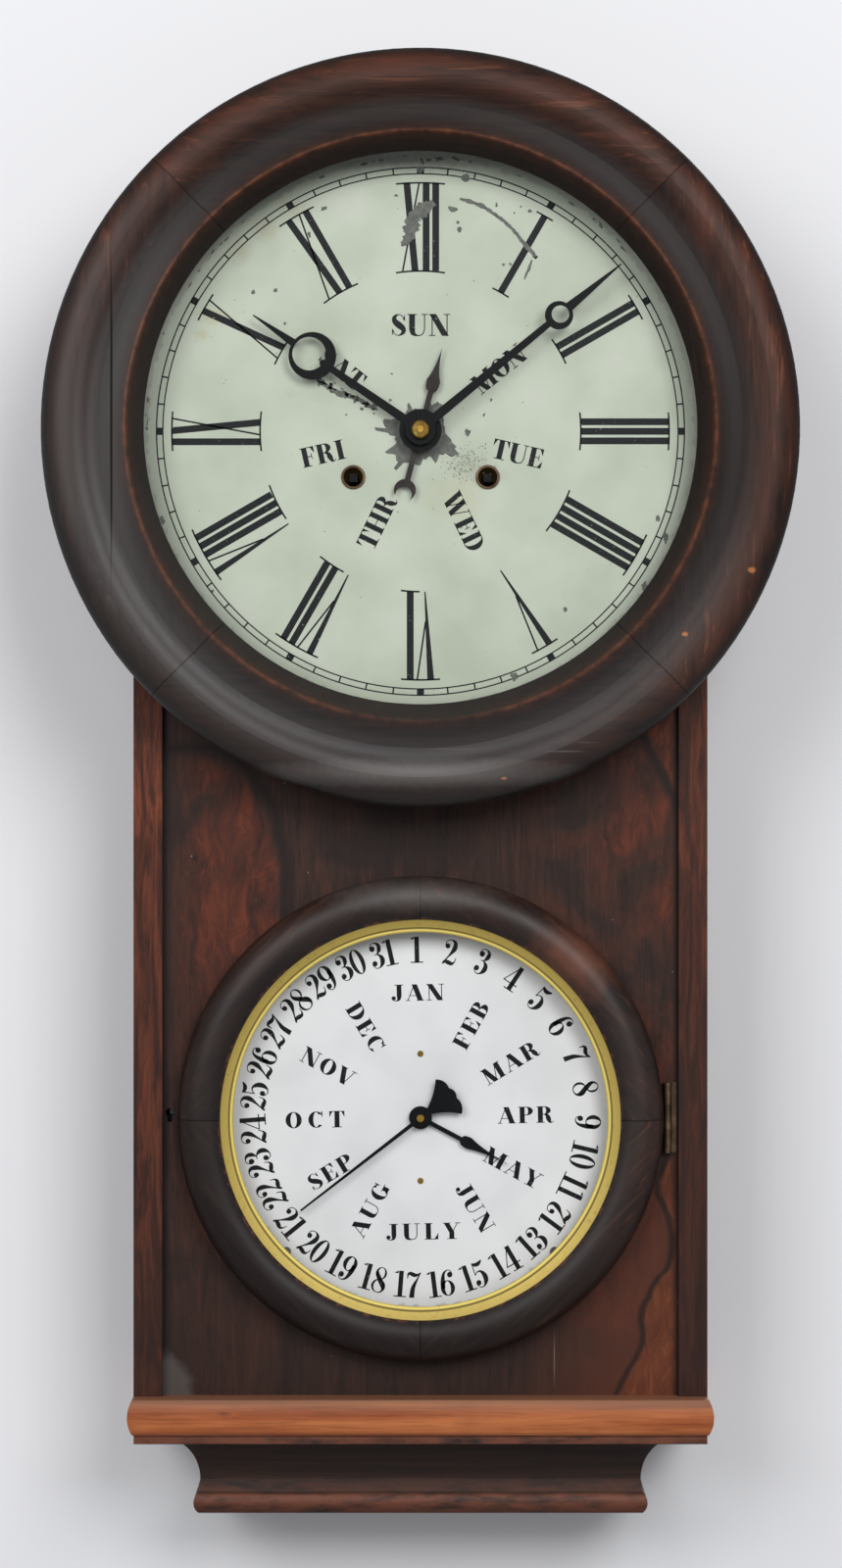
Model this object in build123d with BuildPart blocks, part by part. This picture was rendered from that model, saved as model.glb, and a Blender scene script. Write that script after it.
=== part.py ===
from build123d import *
import os
from collections import namedtuple
from math import acos, asin, atan2, cos, degrees, dist, pi, radians, sin, tan

# Double-dial calendar wall clock: a round time head over a box with a round calendar door.
# Frame: millimetres, +Z up, +X right, the room in front at -Y.
# The origin is the middle of the hanger's nail hole, on the wall.
# Depths are distances forward of the wall. Heights are taken from the hand axis.

# Driving sizes of the case
case_width = 311.0
ring_gap = 37.6
foot_margin = 20.0
side_thickness = 15.5
back_thickness = 10.0
top_thickness = 12.0
panel_thickness = 10.0
panel_recess = 5.0
panel_top_gap = 4.4

# Driving sizes of the bottom board and the moulding under it
bottom_thickness = 19.0
bottom_overhang = 2.5
bottom_nose = 12.0
base_fillet_setback = 1.6
base_fillet_height = 5.0
base_soffit = 19.0
cove_height = 25.0
cove_run = 15.0
slope_height = 7.0
slope_run = 1.0
bead_height = 11.5
bead_bulge = 2.6
base_stock = 26.0

# Driving sizes of the head
head_radius = 202.4
head_frame_inset = 5.4
head_frame_thickness = 11.0
head_frame_opening = 100.0
head_shoulder_inset = 4.5
head_crest_inset = 16.0
head_turn_inset = 23.7
head_valley_inset = 31.4
head_arris_inset = 45.8
head_opening_inset = 54.9
head_recess_inset = 41.9
head_side_height = 21.7
head_shoulder_height = 30.4
head_crest_height = 34.0
head_turn_height = 32.1
head_valley_height = 30.2
head_arris_height = 33.5
head_lip_height = 23.0
head_lip_thickness = 1.5
head_glass_lap = 3.5
glass_thickness = 2.0
seam_turn = 45.0
door_gap = 0.4

# Driving sizes of the time dial
dial_margin = 3.5
dial_thickness = 1.0
dial_centre_hole = 5.4
dial_screw_inset = 4.0
dial_screw_count = 6
dial_screw_share = 0.25
winding_spread = 36.2
winding_drop = 24.7
winding_hole_radius = 5.1
grommet_wall = 0.5
grommet_flange = 1.4
grommet_flange_height = 0.8

# Driving sizes of the calendar dial and its door
calendar_ring_margin = 9.0
calendar_dial_margin = 2.0
calendar_dial_hole = 4.4
calendar_screw_inset = 3.0
calendar_screw_count = 4
calendar_panel_hole = 52.0
calendar_ring_width = 23.0
calendar_ring_side = 4.6
calendar_ring_crest = 21.6
calendar_ring_crest_inset = 10.5
calendar_ring_inner_height = 18.0
bezel_width = 7.0
bezel_band_width = 4.6
bezel_wall = 1.5
bezel_rim_height = 17.4
bezel_band_drop = 2.6
bezel_bead_radius = 1.2
bezel_skirt = 10.0
calendar_glass_margin = 3.0

# Driving sizes of the hinges
hinge_length = 38.0
knuckle_radius = 2.4
hinge_pin_radius = 1.2
leaf_thickness = 1.2
leaf_width = 18.0
knuckle_gap = 0.2
head_hinge_offset = 2.9
head_hinge_setback = 3.2
calendar_hinge_offset = 2.9
calendar_hinge_stand = 3.0

# Driving sizes of the calendar lock
keyhole_margin = 3.8
keyhole_rise = 2.5
keyhole_radius = 2.3
keyhole_slot_width = 2.6
keyhole_slot_length = 5.0
catch_inset = 6.0
catch_thickness = 3.0
catch_width = 12.0
catch_length = 20.0
catch_slot_play = 1.6
bolt_width = 6.0
bolt_thickness = 3.0
bolt_length = 11.0
bolt_stand = 1.0
bolt_depth_below_panel = 6.5
lock_case_width = 11.0
lock_case_height = 28.0
lock_case_depth = 12.0

# Driving sizes of the hanger and the screws
hanger_width = 28.0
hanger_thickness = 1.6
hanger_hole_rise = 18.0
hanger_top_margin = 10.0
hanger_leg = 22.0
hanger_hole_radius = 4.0
hanger_screw_spread = 8.0
screw_head_radius = 2.6
screw_head_height = 1.6
screw_shank_radius = 1.2
screw_length = 8.0

# Driving sizes of the movement plates
movement_stand = 34.0
plate_thickness = 2.0
plate_gap = 40.0
plate_half_width = 78.0
plate_rise = 90.0
plate_drop = 68.0
pillar_radius = 3.5
pillar_pin_radius = 2.0
pillar_margin = 8.0
rail_width = 20.0
rail_depth = 17.0
rail_end_gap = 2.0
rail_foot_lap = 46.0
movement_headroom = 20.0
rail_lap = 14.0
rail_screw_rise = 60.0
rail_screw_drop = 40.0

# Driving sizes of the wheels
pressure_angle = 25.0
addendum_share = 0.8
dedendum_share = 1.05
backlash = 0.14
great_module = 0.8
train_module = 0.6
fine_module = 0.5
wheel_thickness = 1.5
great_thickness = 2.0
pinion_face = 3.6
arbor_radius = 1.5
arbor_overhang = 0.5
winding_radius = 3.2
winding_square = 4.6
winding_square_length = 11.0
winding_recess = 2.5
ratchet_radius = 12.0
ratchet_depth = 2.2
ratchet_teeth = 16
ratchet_gap = 0.8
ratchet_thickness = 1.8
click_length = 7.0
click_width = 3.0

# Depths of the wheels as shares of the room between the plates, from the back plate's front face
great_share = 0.0625
great_pinion_share = 0.0375
centre_share = 0.175
spring_share = 0.25
third_share = 0.4
warning_share = 0.5
escape_share = 0.6
second_share = 0.825
fly_share = 0.125

# Driving sizes of the mainsprings, the escapement and the pendulum
spring_width = 15.0
spring_thickness = 0.5
spring_turns = 6
spring_pitch = 3.8
spring_post_half = 2.0
spring_post_height = 4.0
escape_radius = 17.0
escape_root = 14.2
escape_teeth = 40
escape_rise = 44.0
verge_rise = 68.0
verge_inner_radius = 18.7
verge_band = 3.0
verge_reach = 55.0
verge_hub_radius = 3.5
verge_thickness = 3.5
crutch_length = 53.0
crutch_width = 3.0
crutch_pin_radius = 0.8
crutch_play = 0.5
crutch_setback = 4.5
crutch_thickness = 2.0
suspension_rise = 80.0
suspension_pin_radius = 1.2
suspension_strip_width = 5.4
suspension_strip_thickness = 0.4
suspension_strip_length = 26.0
cock_half_width = 7.0
cock_half_height = 6.0
cock_reach = 15.0
cock_wall = 3.0
cock_slot = 3.4
pendulum_length = 398.0
pendulum_setback = 8.5
pendulum_rod_radius = 1.5
bob_radius = 38.0
bob_thickness = 15.0
bob_rim = 3.0
rating_nut_radius = 4.5
rating_nut_height = 6.0
rating_tail = 8.0

# Driving sizes of the strike
pin_count = 13
pin_circle = 19.0
pin_radius = 0.6
pin_length = 5.0
tail_thickness = 3.0
fly_radius = 14.0
fly_length = 12.0
fly_thickness = 1.2
count_radius = 30.0
count_notch_depth = 3.0
count_notch_width = 1.6
count_thickness = 1.2
count_divisions = 78
hammer_x = -58.0
hammer_rise = 30.0
hammer_tail_width = 2.4
hammer_wire_radius = 1.1
hammer_head_radius = 5.0
hammer_head_length = 9.0
hammer_rest_gap = 1.2
gong_margin = 40.0
gong_drop = 120.0
gong_stand_height = 8.0
gong_wire_radius = 1.6
gong_inner_radius = 11.0
gong_pitch = 6.2
gong_half_turns = 8
gong_stand_radius = 8.0
gong_lug_height = 5.0
gong_stand_overrise = 3.0

# Driving sizes of the hand works in front of the front plate
minute_module = 0.64
hour_module = 2.0 / 3.0
weekday_module = 0.5
motion_level = 2.0
hour_level = 6.0
day_level = 8.6
weekday_level = 12.0
pipe_wall = 1.3
centre_arbor_radius = 1.75
hand_stack_gap = 2.6
hand_thickness = 1.0
stud_radius = 1.5

# Driving sizes of the hands
minute_hand_margin = 8.0
minute_hand_turn = 50.5
minute_hub_radius = 8.1
minute_moon_share = 0.69
minute_moon_radius = 7.6
minute_moon_hole = 4.7
minute_moon_shift = 0.95
hour_hand_margin = 38.5
hour_hand_turn = 304.5
hour_hub_radius = 11.4
hour_moon_share = 0.646
hour_moon_radius = 12.8
hour_moon_hole = 9.0
hour_moon_shift = 2.1
hour_moon_drop = 1.9
shaft_root_width = 5.2
shaft_neck_width = 3.4
spear_width = 6.0
hand_point_width = 0.6
weekday_hand_length = 46.6
weekday_hand_turn = 14.7
weekday_hub_radius = 7.0
weekday_leaf_root = 22.0
weekday_leaf_reach = 27.8
weekday_leaf_width = 7.4
weekday_tail_length = 33.0
weekday_tail_width = 3.0
weekday_crescent_radius = 5.9
weekday_crescent_hole = 4.4
weekday_crescent_shift = 2.6
nut_radius = 5.0
nut_height = 3.0
nut_bevel = 0.8

# Driving sizes of the calendar work
calendar_plate_setback = 32.0
calendar_plate_thickness = 2.0
calendar_plate_left = 24.0
calendar_plate_right = 48.0
calendar_plate_drop = 40.0
calendar_plate_rise = 50.0
calendar_pillar_reach = 34.5
calendar_pillar_radius = 2.2
calendar_pillar_pin = 1.6
calendar_pillar_head = 0.4
date_arbor_radius = 2.0
date_wheel_radius = 18.0
date_wheel_tooth = 2.6
date_wheel_gap = 2.5
date_pinion_level = 7.0
month_level = 12.0
date_hand_margin = 19.0
date_hand_turn = 232.3
date_hub_radius = 5.2
date_hand_width = 2.2
date_point_width = 1.0
date_fan_reach = 22.4
date_fan_bulge = 1.1
date_fan_turns = (-31.0, -8.5, 8.5, 32.0)
month_hand_margin = 47.0
month_hand_turn = 118.0
month_hub_radius = 6.2
month_leaf_root = 25.0
month_leaf_reach = 30.0
month_leaf_width = 6.4
month_hand_width = 2.4
calendar_hand_gap = 1.6
calendar_arbor_end = 2.0
trip_x = 58.0
trip_rise = 8.0
trip_arm = 16.0
trip_arm_width = 4.0
trip_arm_thickness = 1.6
trip_hub_radius = 4.0
trip_pin_radius = 1.5
trip_level = 10.4
trip_nose = 3.5
trip_eye_play = 0.5
trip_eye_wall = 1.6
trip_eye_thickness = 1.5
trip_circle = 11.0
trip_peg_turn = 200.0
trip_peg_radius = 0.6
trip_peg_length = 1.5
rod_travel = 4.0
rod_radius = 1.1
rod_bend_clear = 7.0
rod_bend_length = 32.0
rod_bend_radius = 8.0
rod_foot_gap = 0.5
rod_foot_width = 2.0
rod_guide_rise = 44.0
rod_guide_half = 4.0

# Fits and one overrun for every cut
running_fit = 0.08
seat_fit = 0.05
near_gap = 0.3
overrun = 1.0

# Places that follow from the sizes: the movement sets the case's depth and the height above the hands
wheel_zero = movement_stand + plate_thickness
front_plate_back = wheel_zero + plate_gap
front_plate_front = front_plate_back + plate_thickness
case_depth = front_plate_front + rail_depth
case_rise = plate_rise + movement_headroom + top_thickness
rail_rise = case_rise - top_thickness - rail_end_gap
rail_drop = plate_drop + rail_foot_lap
rail_inner = plate_half_width - rail_lap
rod_bend_start = plate_drop + rod_bend_clear
hanger_rise = case_rise + hanger_hole_rise
hand_height = -hanger_rise

# The case's width sets the calendar ring, and the two rings set the case's length
case_half = case_width / 2
inner_half = case_half - side_thickness
calendar_ring_radius = inner_half - calendar_ring_margin
calendar_drop = head_radius + calendar_ring_radius + ring_gap
case_drop = calendar_drop + calendar_ring_radius + foot_margin
panel_front = case_depth - panel_recess
panel_back = panel_front - panel_thickness
panel_rise = -rail_drop - panel_top_gap
keyhole_reach = inner_half - keyhole_margin
catch_reach = calendar_ring_radius - catch_inset

# Head ring, its frame, its dial and its hands, from the head's radius inwards
head_frame_radius = head_radius - head_frame_inset
head_shoulder_radius = head_radius - head_shoulder_inset
head_crest_radius = head_radius - head_crest_inset
head_turn_radius = head_radius - head_turn_inset
head_valley_radius = head_radius - head_valley_inset
head_arris_radius = head_radius - head_arris_inset
head_opening_radius = head_radius - head_opening_inset
head_recess_radius = head_radius - head_recess_inset
dial_radius = head_recess_radius - dial_margin
dial_screw_circle = dial_radius - dial_screw_inset
dial_back = case_depth + head_frame_thickness
dial_front = dial_back + dial_thickness
head_back = dial_back + door_gap
minute_hand_length = head_opening_radius - minute_hand_margin
minute_moon_reach = minute_moon_share * minute_hand_length
hour_hand_length = head_opening_radius - hour_hand_margin
hour_moon_reach = hour_moon_share * hour_hand_length

# Calendar ring, its bezel, its dial and its hands, from the ring's radius inwards
calendar_ring_inner = calendar_ring_radius - calendar_ring_width
calendar_ring_crest_radius = calendar_ring_radius - calendar_ring_crest_inset
bezel_inner = calendar_ring_inner - bezel_width
bezel_band_inner = calendar_ring_inner - bezel_band_width
calendar_glass_radius = calendar_ring_inner - calendar_glass_margin
calendar_dial_radius = calendar_ring_inner - calendar_dial_margin
calendar_screw_circle = calendar_dial_radius - calendar_screw_inset
calendar_back = panel_front + door_gap
calendar_dial_front = panel_front + dial_thickness
calendar_plate_depth = panel_front - calendar_plate_setback
date_hand_length = bezel_inner - date_hand_margin
month_hand_length = bezel_inner - month_hand_margin

# Levels of the wheels, the pendulum behind the back plate and the gong on the back board
great_level = great_share * plate_gap
great_pinion_level = great_pinion_share * plate_gap
centre_level = centre_share * plate_gap
spring_level = spring_share * plate_gap
third_level = third_share * plate_gap
warning_level = warning_share * plate_gap
escape_level = escape_share * plate_gap
second_level = second_share * plate_gap
fly_level = fly_share * plate_gap
crutch_depth = movement_stand - crutch_setback
pendulum_depth = movement_stand - pendulum_setback
cock_depth = movement_stand - cock_reach
gong_depth = back_thickness + gong_stand_height
gong_x = gong_margin - inner_half

os.makedirs("parts", exist_ok=True)


def keep(part, name):
    """Label a finished piece and write it as its own file."""
    part.label = name
    export_step(part, f"parts/{name}.step")


def room_plane(depth, x=0.0, z=0.0, clockwise=0.0):
    """Plane that faces the room at a depth, centred x, z from the hand axis and turned clockwise."""
    turn = radians(clockwise)
    return Plane(
        origin=(x, -depth, hand_height + z),
        x_dir=(cos(turn), 0, -sin(turn)),
        z_dir=(0, -1, 0),
    )


def wall_plane(depth, x=0.0, z=0.0):
    """Plane that faces the wall at a depth, centred x, z from the hand axis."""
    return Plane(origin=(x, -depth, hand_height + z), x_dir=(-1, 0, 0), z_dir=(0, 1, 0))


def slab(left, right, low, high, rear, front, mode=Mode.ADD):
    """Box between two sides, two heights and two depths."""
    with BuildSketch(room_plane(rear, (left + right) / 2, (low + high) / 2)) as end:
        Rectangle(right - left, high - low)
    extrude(end.sketch, amount=front - rear, mode=mode)


def disc(radius, rear, front, x=0.0, z=0.0, mode=Mode.ADD):
    """Round plate or shaft between two depths."""
    with BuildSketch(room_plane(rear, x, z)) as end:
        Circle(radius)
    extrude(end.sketch, amount=front - rear, mode=mode)


def cut_disc(radius, rear, front, x=0.0, z=0.0):
    """Round hole right through what lies between two depths."""
    disc(radius, rear - overrun, front + overrun, x, z, mode=Mode.SUBTRACT)


def on_circle(radius, clockwise):
    """Point x, z on a circle, its angle counted clockwise from twelve."""
    turn = radians(clockwise)
    return radius * sin(turn), radius * cos(turn)


def screw(plane):
    """Round-head wood screw, its head standing on the plane."""
    with BuildSketch(plane) as head:
        Circle(screw_head_radius)
    extrude(head.sketch, amount=screw_head_height)
    with BuildSketch(plane) as shank:
        Circle(screw_shank_radius)
    extrude(shank.sketch, amount=-screw_length)


def screw_holes(planes):
    """Pilot holes for the screws that stand on these planes."""
    for plane in planes:
        with BuildSketch(plane) as pilot:
            Circle(screw_shank_radius + seat_fit)
        extrude(pilot.sketch, amount=-(screw_length + seat_fit), mode=Mode.SUBTRACT)


# Toothed wheels: a gear holds its teeth, its module, its centre and the angle of one tooth
Gear = namedtuple("Gear", "teeth module x z phase")


def pitch_radius(gear):
    return gear.module * gear.teeth / 2


def tip_radius(gear):
    return pitch_radius(gear) + addendum_share * gear.module


def root_radius(gear):
    return pitch_radius(gear) - dedendum_share * gear.module


def involute(angle):
    return tan(angle) - angle


def gear_outline(gear):
    """Corners of a wheel's teeth, three to a flank, with one tooth on the x axis."""
    pitch = pitch_radius(gear)
    base = pitch * cos(radians(pressure_angle))
    half_at_pitch = pi / (2 * gear.teeth) - backlash / (4 * pitch)
    flank = []
    for radius in (root_radius(gear), pitch, tip_radius(gear)):
        slope = acos(min(base / radius, 1))
        flank.append((radius, half_at_pitch + involute(radians(pressure_angle)) - involute(slope)))
    corners = []
    for tooth in range(gear.teeth):
        middle = 2 * pi * tooth / gear.teeth
        sides = [(r, middle - a) for r, a in flank] + [(r, middle + a) for r, a in reversed(flank)]
        corners += [(r * cos(a), r * sin(a)) for r, a in sides]
    return corners


def meshed(driver, teeth, x, z, module=None):
    """Gear at x, z whose teeth stand in the driver's gaps at rest."""
    line = atan2(z - driver.z, x - driver.x)
    share = (line - driver.phase) * driver.teeth / (2 * pi)
    phase = line + pi - (0.5 - share) * 2 * pi / teeth
    return Gear(teeth, module or driver.module, x, z, phase)


def mesh_distance(first_teeth, second_teeth, module):
    return module * (first_teeth + second_teeth) / 2


def crossing(first, first_reach, second, second_reach, side):
    """Point at two given distances from two centres, on one side of the line between them."""
    span = dist(first, second)
    along = (first_reach**2 - second_reach**2 + span**2) / (2 * span)
    off = side * (first_reach**2 - along**2) ** 0.5
    ux, uz = (second[0] - first[0]) / span, (second[1] - first[1]) / span
    return first[0] + along * ux - off * uz, first[1] + along * uz + off * ux


def toothed(gear, rear, thickness, arms=0):
    """Toothed disc between two depths, with round crossings where it has arms."""
    with BuildSketch(room_plane(rear, gear.x, gear.z, -degrees(gear.phase))) as teeth:
        with BuildLine():
            Polyline(*gear_outline(gear), close=True)
        make_face()
        if arms:
            rim = root_radius(gear)
            with PolarLocations(crossing_reach_share * rim, arms):
                Circle(crossing_radius_share * rim, mode=Mode.SUBTRACT)
    extrude(teeth.sketch, amount=thickness)


def sawtooth(radius, depth, teeth, rear, thickness, x, z, arms=0):
    """Ratchet disc with one steep side to each tooth."""
    corners = []
    for tooth in range(teeth):
        corners.append(on_circle(radius, 360 * tooth / teeth))
        corners.append(on_circle(radius - depth, 360 * (tooth + ratchet_foot_share) / teeth))
    with BuildSketch(room_plane(rear, x, z)) as ratchet:
        with BuildLine():
            Polyline(*corners, close=True)
        make_face()
        if arms:
            rim = radius - depth
            with PolarLocations(crossing_reach_share * rim, arms):
                Circle(crossing_radius_share * rim, mode=Mode.SUBTRACT)
    extrude(ratchet.sketch, amount=thickness)


crossing_reach_share = 0.58
crossing_radius_share = 0.24
ratchet_foot_share = 0.12
leaf_hollow_share = 0.1
leaf_shoulder_share = 0.3

# Tooth counts and centres of the going train, the hand works and the strike
great_teeth = 84
great_leaves = 14
second_teeth = 78
centre_leaves = 12
centre_teeth = 90
third_leaves = 10
third_teeth = 79
escape_leaves = 10
warning_leaves = 10
warning_teeth = 70
fly_leaves = 10
minute_leaves = 10
minute_teeth = 40
hour_leaves = 12
hour_teeth = 36
day_driver_leaves = 20
day_teeth = 40
weekday_leaves = 10
weekday_teeth = 70
date_teeth = 31
wheel_arms = 4
fly_lean = 80.0

centre_at = (0.0, 0.0)
time_at = (winding_spread, -winding_drop)
strike_at = (-winding_spread, -winding_drop)
great_reach = mesh_distance(great_teeth, great_leaves, great_module)
second_at = crossing(
    centre_at, mesh_distance(second_teeth, centre_leaves, train_module), time_at, great_reach, 1
)
escape_at = (0.0, escape_rise)
third_at = crossing(
    centre_at,
    mesh_distance(centre_teeth, third_leaves, fine_module),
    escape_at,
    mesh_distance(third_teeth, escape_leaves, fine_module),
    1,
)
pin_at = (strike_at[0], strike_at[1] + great_reach)
warning_at = (pin_at[0], pin_at[1] + mesh_distance(second_teeth, warning_leaves, train_module))
fly_reach = mesh_distance(warning_teeth, fly_leaves, fine_module)
fly_at = (
    warning_at[0] + fly_reach * cos(radians(fly_lean)),
    warning_at[1] + fly_reach * sin(radians(fly_lean)),
)
minute_reach = mesh_distance(minute_leaves, minute_teeth, minute_module)
day_reach = mesh_distance(day_driver_leaves, day_teeth, hour_module)
minute_at = (-minute_reach, 0.0)
day_at = (day_reach, 0.0)
verge_at = (0.0, verge_rise)
hammer_at = (hammer_x, hammer_rise)

time_great = Gear(great_teeth, great_module, *time_at, 0.0)
time_pinion = meshed(time_great, great_leaves, *second_at)
second_gear = Gear(second_teeth, train_module, *second_at, 0.0)
centre_pinion = meshed(second_gear, centre_leaves, *centre_at)
centre_gear = Gear(centre_teeth, fine_module, *centre_at, 0.0)
third_pinion = meshed(centre_gear, third_leaves, *third_at)
third_gear = Gear(third_teeth, fine_module, *third_at, 0.0)
escape_pinion = meshed(third_gear, escape_leaves, *escape_at)
strike_great = Gear(great_teeth, great_module, *strike_at, 0.0)
pin_pinion = meshed(strike_great, great_leaves, *pin_at)
pin_gear = Gear(second_teeth, train_module, *pin_at, 0.0)
warning_pinion = meshed(pin_gear, warning_leaves, *warning_at)
warning_gear = Gear(warning_teeth, fine_module, *warning_at, 0.0)
fly_pinion = meshed(warning_gear, fly_leaves, *fly_at)
minute_pinion = Gear(minute_leaves, minute_module, *centre_at, 0.0)
minute_gear = meshed(minute_pinion, minute_teeth, *minute_at)
hour_driver = Gear(hour_leaves, hour_module, *minute_at, 0.0)
hour_gear = meshed(hour_driver, hour_teeth, *centre_at)
day_driver = Gear(day_driver_leaves, hour_module, *centre_at, 0.0)
day_gear = meshed(day_driver, day_teeth, *day_at)
weekday_driver = Gear(weekday_leaves, weekday_module, *day_at, 0.0)
weekday_gear = meshed(weekday_driver, weekday_teeth, *centre_at)

calendar_at = (0.0, -calendar_drop)
idler_at = (0.0, minute_reach - calendar_drop)
date_pinion = Gear(minute_leaves, minute_module, *calendar_at, 0.0)
idler_gear = meshed(date_pinion, minute_teeth, *idler_at)
month_driver = Gear(hour_leaves, hour_module, *idler_at, 0.0)
month_gear = meshed(month_driver, hour_teeth, *calendar_at)

# Hand depths, from the dial outwards
hour_pipe_radius = centre_arbor_radius + running_fit + pipe_wall
weekday_pipe_radius = hour_pipe_radius + running_fit + pipe_wall
weekday_hand_depth = dial_front + hand_stack_gap
hour_hand_depth = weekday_hand_depth + hand_thickness + hand_stack_gap
minute_hand_depth = hour_hand_depth + hand_thickness + hand_stack_gap
nut_depth = minute_hand_depth + hand_thickness
winding_end = dial_back - winding_recess

# Screw places
dial_screw_planes = [
    room_plane(dial_front, *on_circle(dial_screw_circle, 360 * (n + dial_screw_share) / dial_screw_count))
    for n in range(dial_screw_count)
]
calendar_screw_planes = []
for n in range(calendar_screw_count):
    screw_x, screw_z = on_circle(calendar_screw_circle, 360 * (n + 0.5) / calendar_screw_count)
    calendar_screw_planes.append(room_plane(calendar_dial_front, screw_x, screw_z - calendar_drop))
plate_screw_places = [
    (side * (plate_half_width - rail_lap / 2), z)
    for side in (-1, 1)
    for z in (rail_screw_rise, -rail_screw_drop)
]
plate_screw_planes = [wall_plane(front_plate_back, x, z) for x, z in plate_screw_places]
hanger_screw_planes = [
    Plane(
        origin=(side * hanger_screw_spread, -hanger_leg / 2, hand_height + case_rise + hanger_thickness),
        x_dir=(1, 0, 0),
        z_dir=(0, 0, 1),
    )
    for side in (-1, 1)
]


def upright(radius, low, high, x, depth, mode=Mode.ADD):
    """Round bar along Z between two heights."""
    foot = Plane(origin=(x, -depth, hand_height + low), x_dir=(1, 0, 0), z_dir=(0, 0, 1))
    with BuildSketch(foot) as end:
        Circle(radius)
    extrude(end.sketch, amount=high - low, mode=mode)


# Back board
with BuildPart() as back_board:
    slab(-inner_half, inner_half, -case_drop, case_rise - top_thickness, 0, back_thickness)
keep(back_board.part, "back_board")

# Side boards, whose front edges show as the two stiles
with BuildPart() as side_boards:
    slab(inner_half, case_half, -case_drop, case_rise - top_thickness, 0, case_depth)
    mirror(about=Plane.YZ)
keep(side_boards.part, "side_boards")

# Top board across the sides
with BuildPart() as top_board:
    slab(-case_half, case_half, case_rise - top_thickness, case_rise, 0, case_depth)
    screw_holes(hanger_screw_planes)
keep(top_board.part, "top_board")

# Bottom board with a rounded nose on three sides
bottom_half = case_half
bottom_front = case_depth + bottom_nose
nose_middle = -bottom_thickness / 2
with BuildPart() as bottom_board:
    with BuildSketch(Plane(origin=(0, 0, hand_height - case_drop), x_dir=(0, -1, 0), z_dir=(-1, 0, 0))):
        with BuildLine():
            Polyline((bottom_front, -bottom_thickness), (0, -bottom_thickness), (0, 0), (bottom_front, 0))
            ThreePointArc(
                (bottom_front, 0),
                (bottom_front + bottom_overhang, nose_middle),
                (bottom_front, -bottom_thickness),
            )
        make_face()
    extrude(amount=case_width, both=True)
    with BuildSketch(room_plane(0, 0, -case_drop)):
        with BuildLine():
            Line((-bottom_half, 0), (bottom_half, 0))
            ThreePointArc(
                (bottom_half, 0),
                (bottom_half + bottom_overhang, nose_middle),
                (bottom_half, -bottom_thickness),
            )
            Line((bottom_half, -bottom_thickness), (-bottom_half, -bottom_thickness))
            ThreePointArc(
                (-bottom_half, -bottom_thickness),
                (-bottom_half - bottom_overhang, nose_middle),
                (-bottom_half, 0),
            )
        make_face()
    extrude(amount=bottom_front + 2 * bottom_overhang, mode=Mode.INTERSECT)
keep(bottom_board.part, "bottom_board")

# Base moulding: fillet strip, cove, sloping band and bead, mitred round three sides
base_top = hand_height - case_drop - bottom_thickness
base_half = case_half - base_fillet_setback / 2
base_front = bottom_front - base_fillet_setback
base_corner = Plane(origin=(base_half, -base_front, base_top), z_dir=(1, 1, 0))
base_left_corner = Plane(origin=(-base_half, -base_front, base_top), z_dir=(-1, 1, 0))
cove_foot = base_soffit + cove_run
slope_foot = cove_foot - slope_run
base_inner = cove_foot + base_stock
base_levels = [-base_fillet_height, -base_fillet_height - cove_height]
base_levels.append(base_levels[-1] - slope_height)
base_levels.append(base_levels[-1] - bead_height)


def base_profile(plane):
    """Section of the base moulding: inwards along the plane's x, upwards along its y."""
    fillet_foot, cove_low, slope_low, bead_low = base_levels
    with BuildSketch(plane) as section:
        with BuildLine():
            Polyline((base_inner, 0), (0, 0), (0, fillet_foot), (base_soffit, fillet_foot))
            TangentArc((cove_foot, cove_low), (base_soffit, fillet_foot), tangent=(0, 1))
            Line((cove_foot, cove_low), (slope_foot, slope_low))
            ThreePointArc(
                (slope_foot, slope_low),
                (slope_foot - bead_bulge, (slope_low + bead_low) / 2),
                (slope_foot, bead_low),
            )
            Polyline((slope_foot, bead_low), (base_inner, bead_low), (base_inner, 0))
        make_face()
    return section.sketch


with BuildPart() as base_front_length:
    front_section = base_profile(
        Plane(origin=(0, -base_front, base_top), x_dir=(0, 1, 0), z_dir=(1, 0, 0))
    )
    extrude(front_section, amount=base_half, both=True)
    split(bisect_by=base_corner, keep=Keep.BOTTOM)
    split(bisect_by=base_left_corner, keep=Keep.BOTTOM)
with BuildPart() as base_side_lengths:
    side_section = base_profile(
        Plane(origin=(base_half, -base_front, base_top), x_dir=(-1, 0, 0), z_dir=(0, 1, 0))
    )
    extrude(side_section, amount=base_front)
    split(bisect_by=base_corner, keep=Keep.TOP)
    mirror(about=Plane.YZ)
base_mouldings = Compound(children=[base_front_length.part, *base_side_lengths.part.solids()])
keep(base_mouldings, "base_mouldings")

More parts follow.
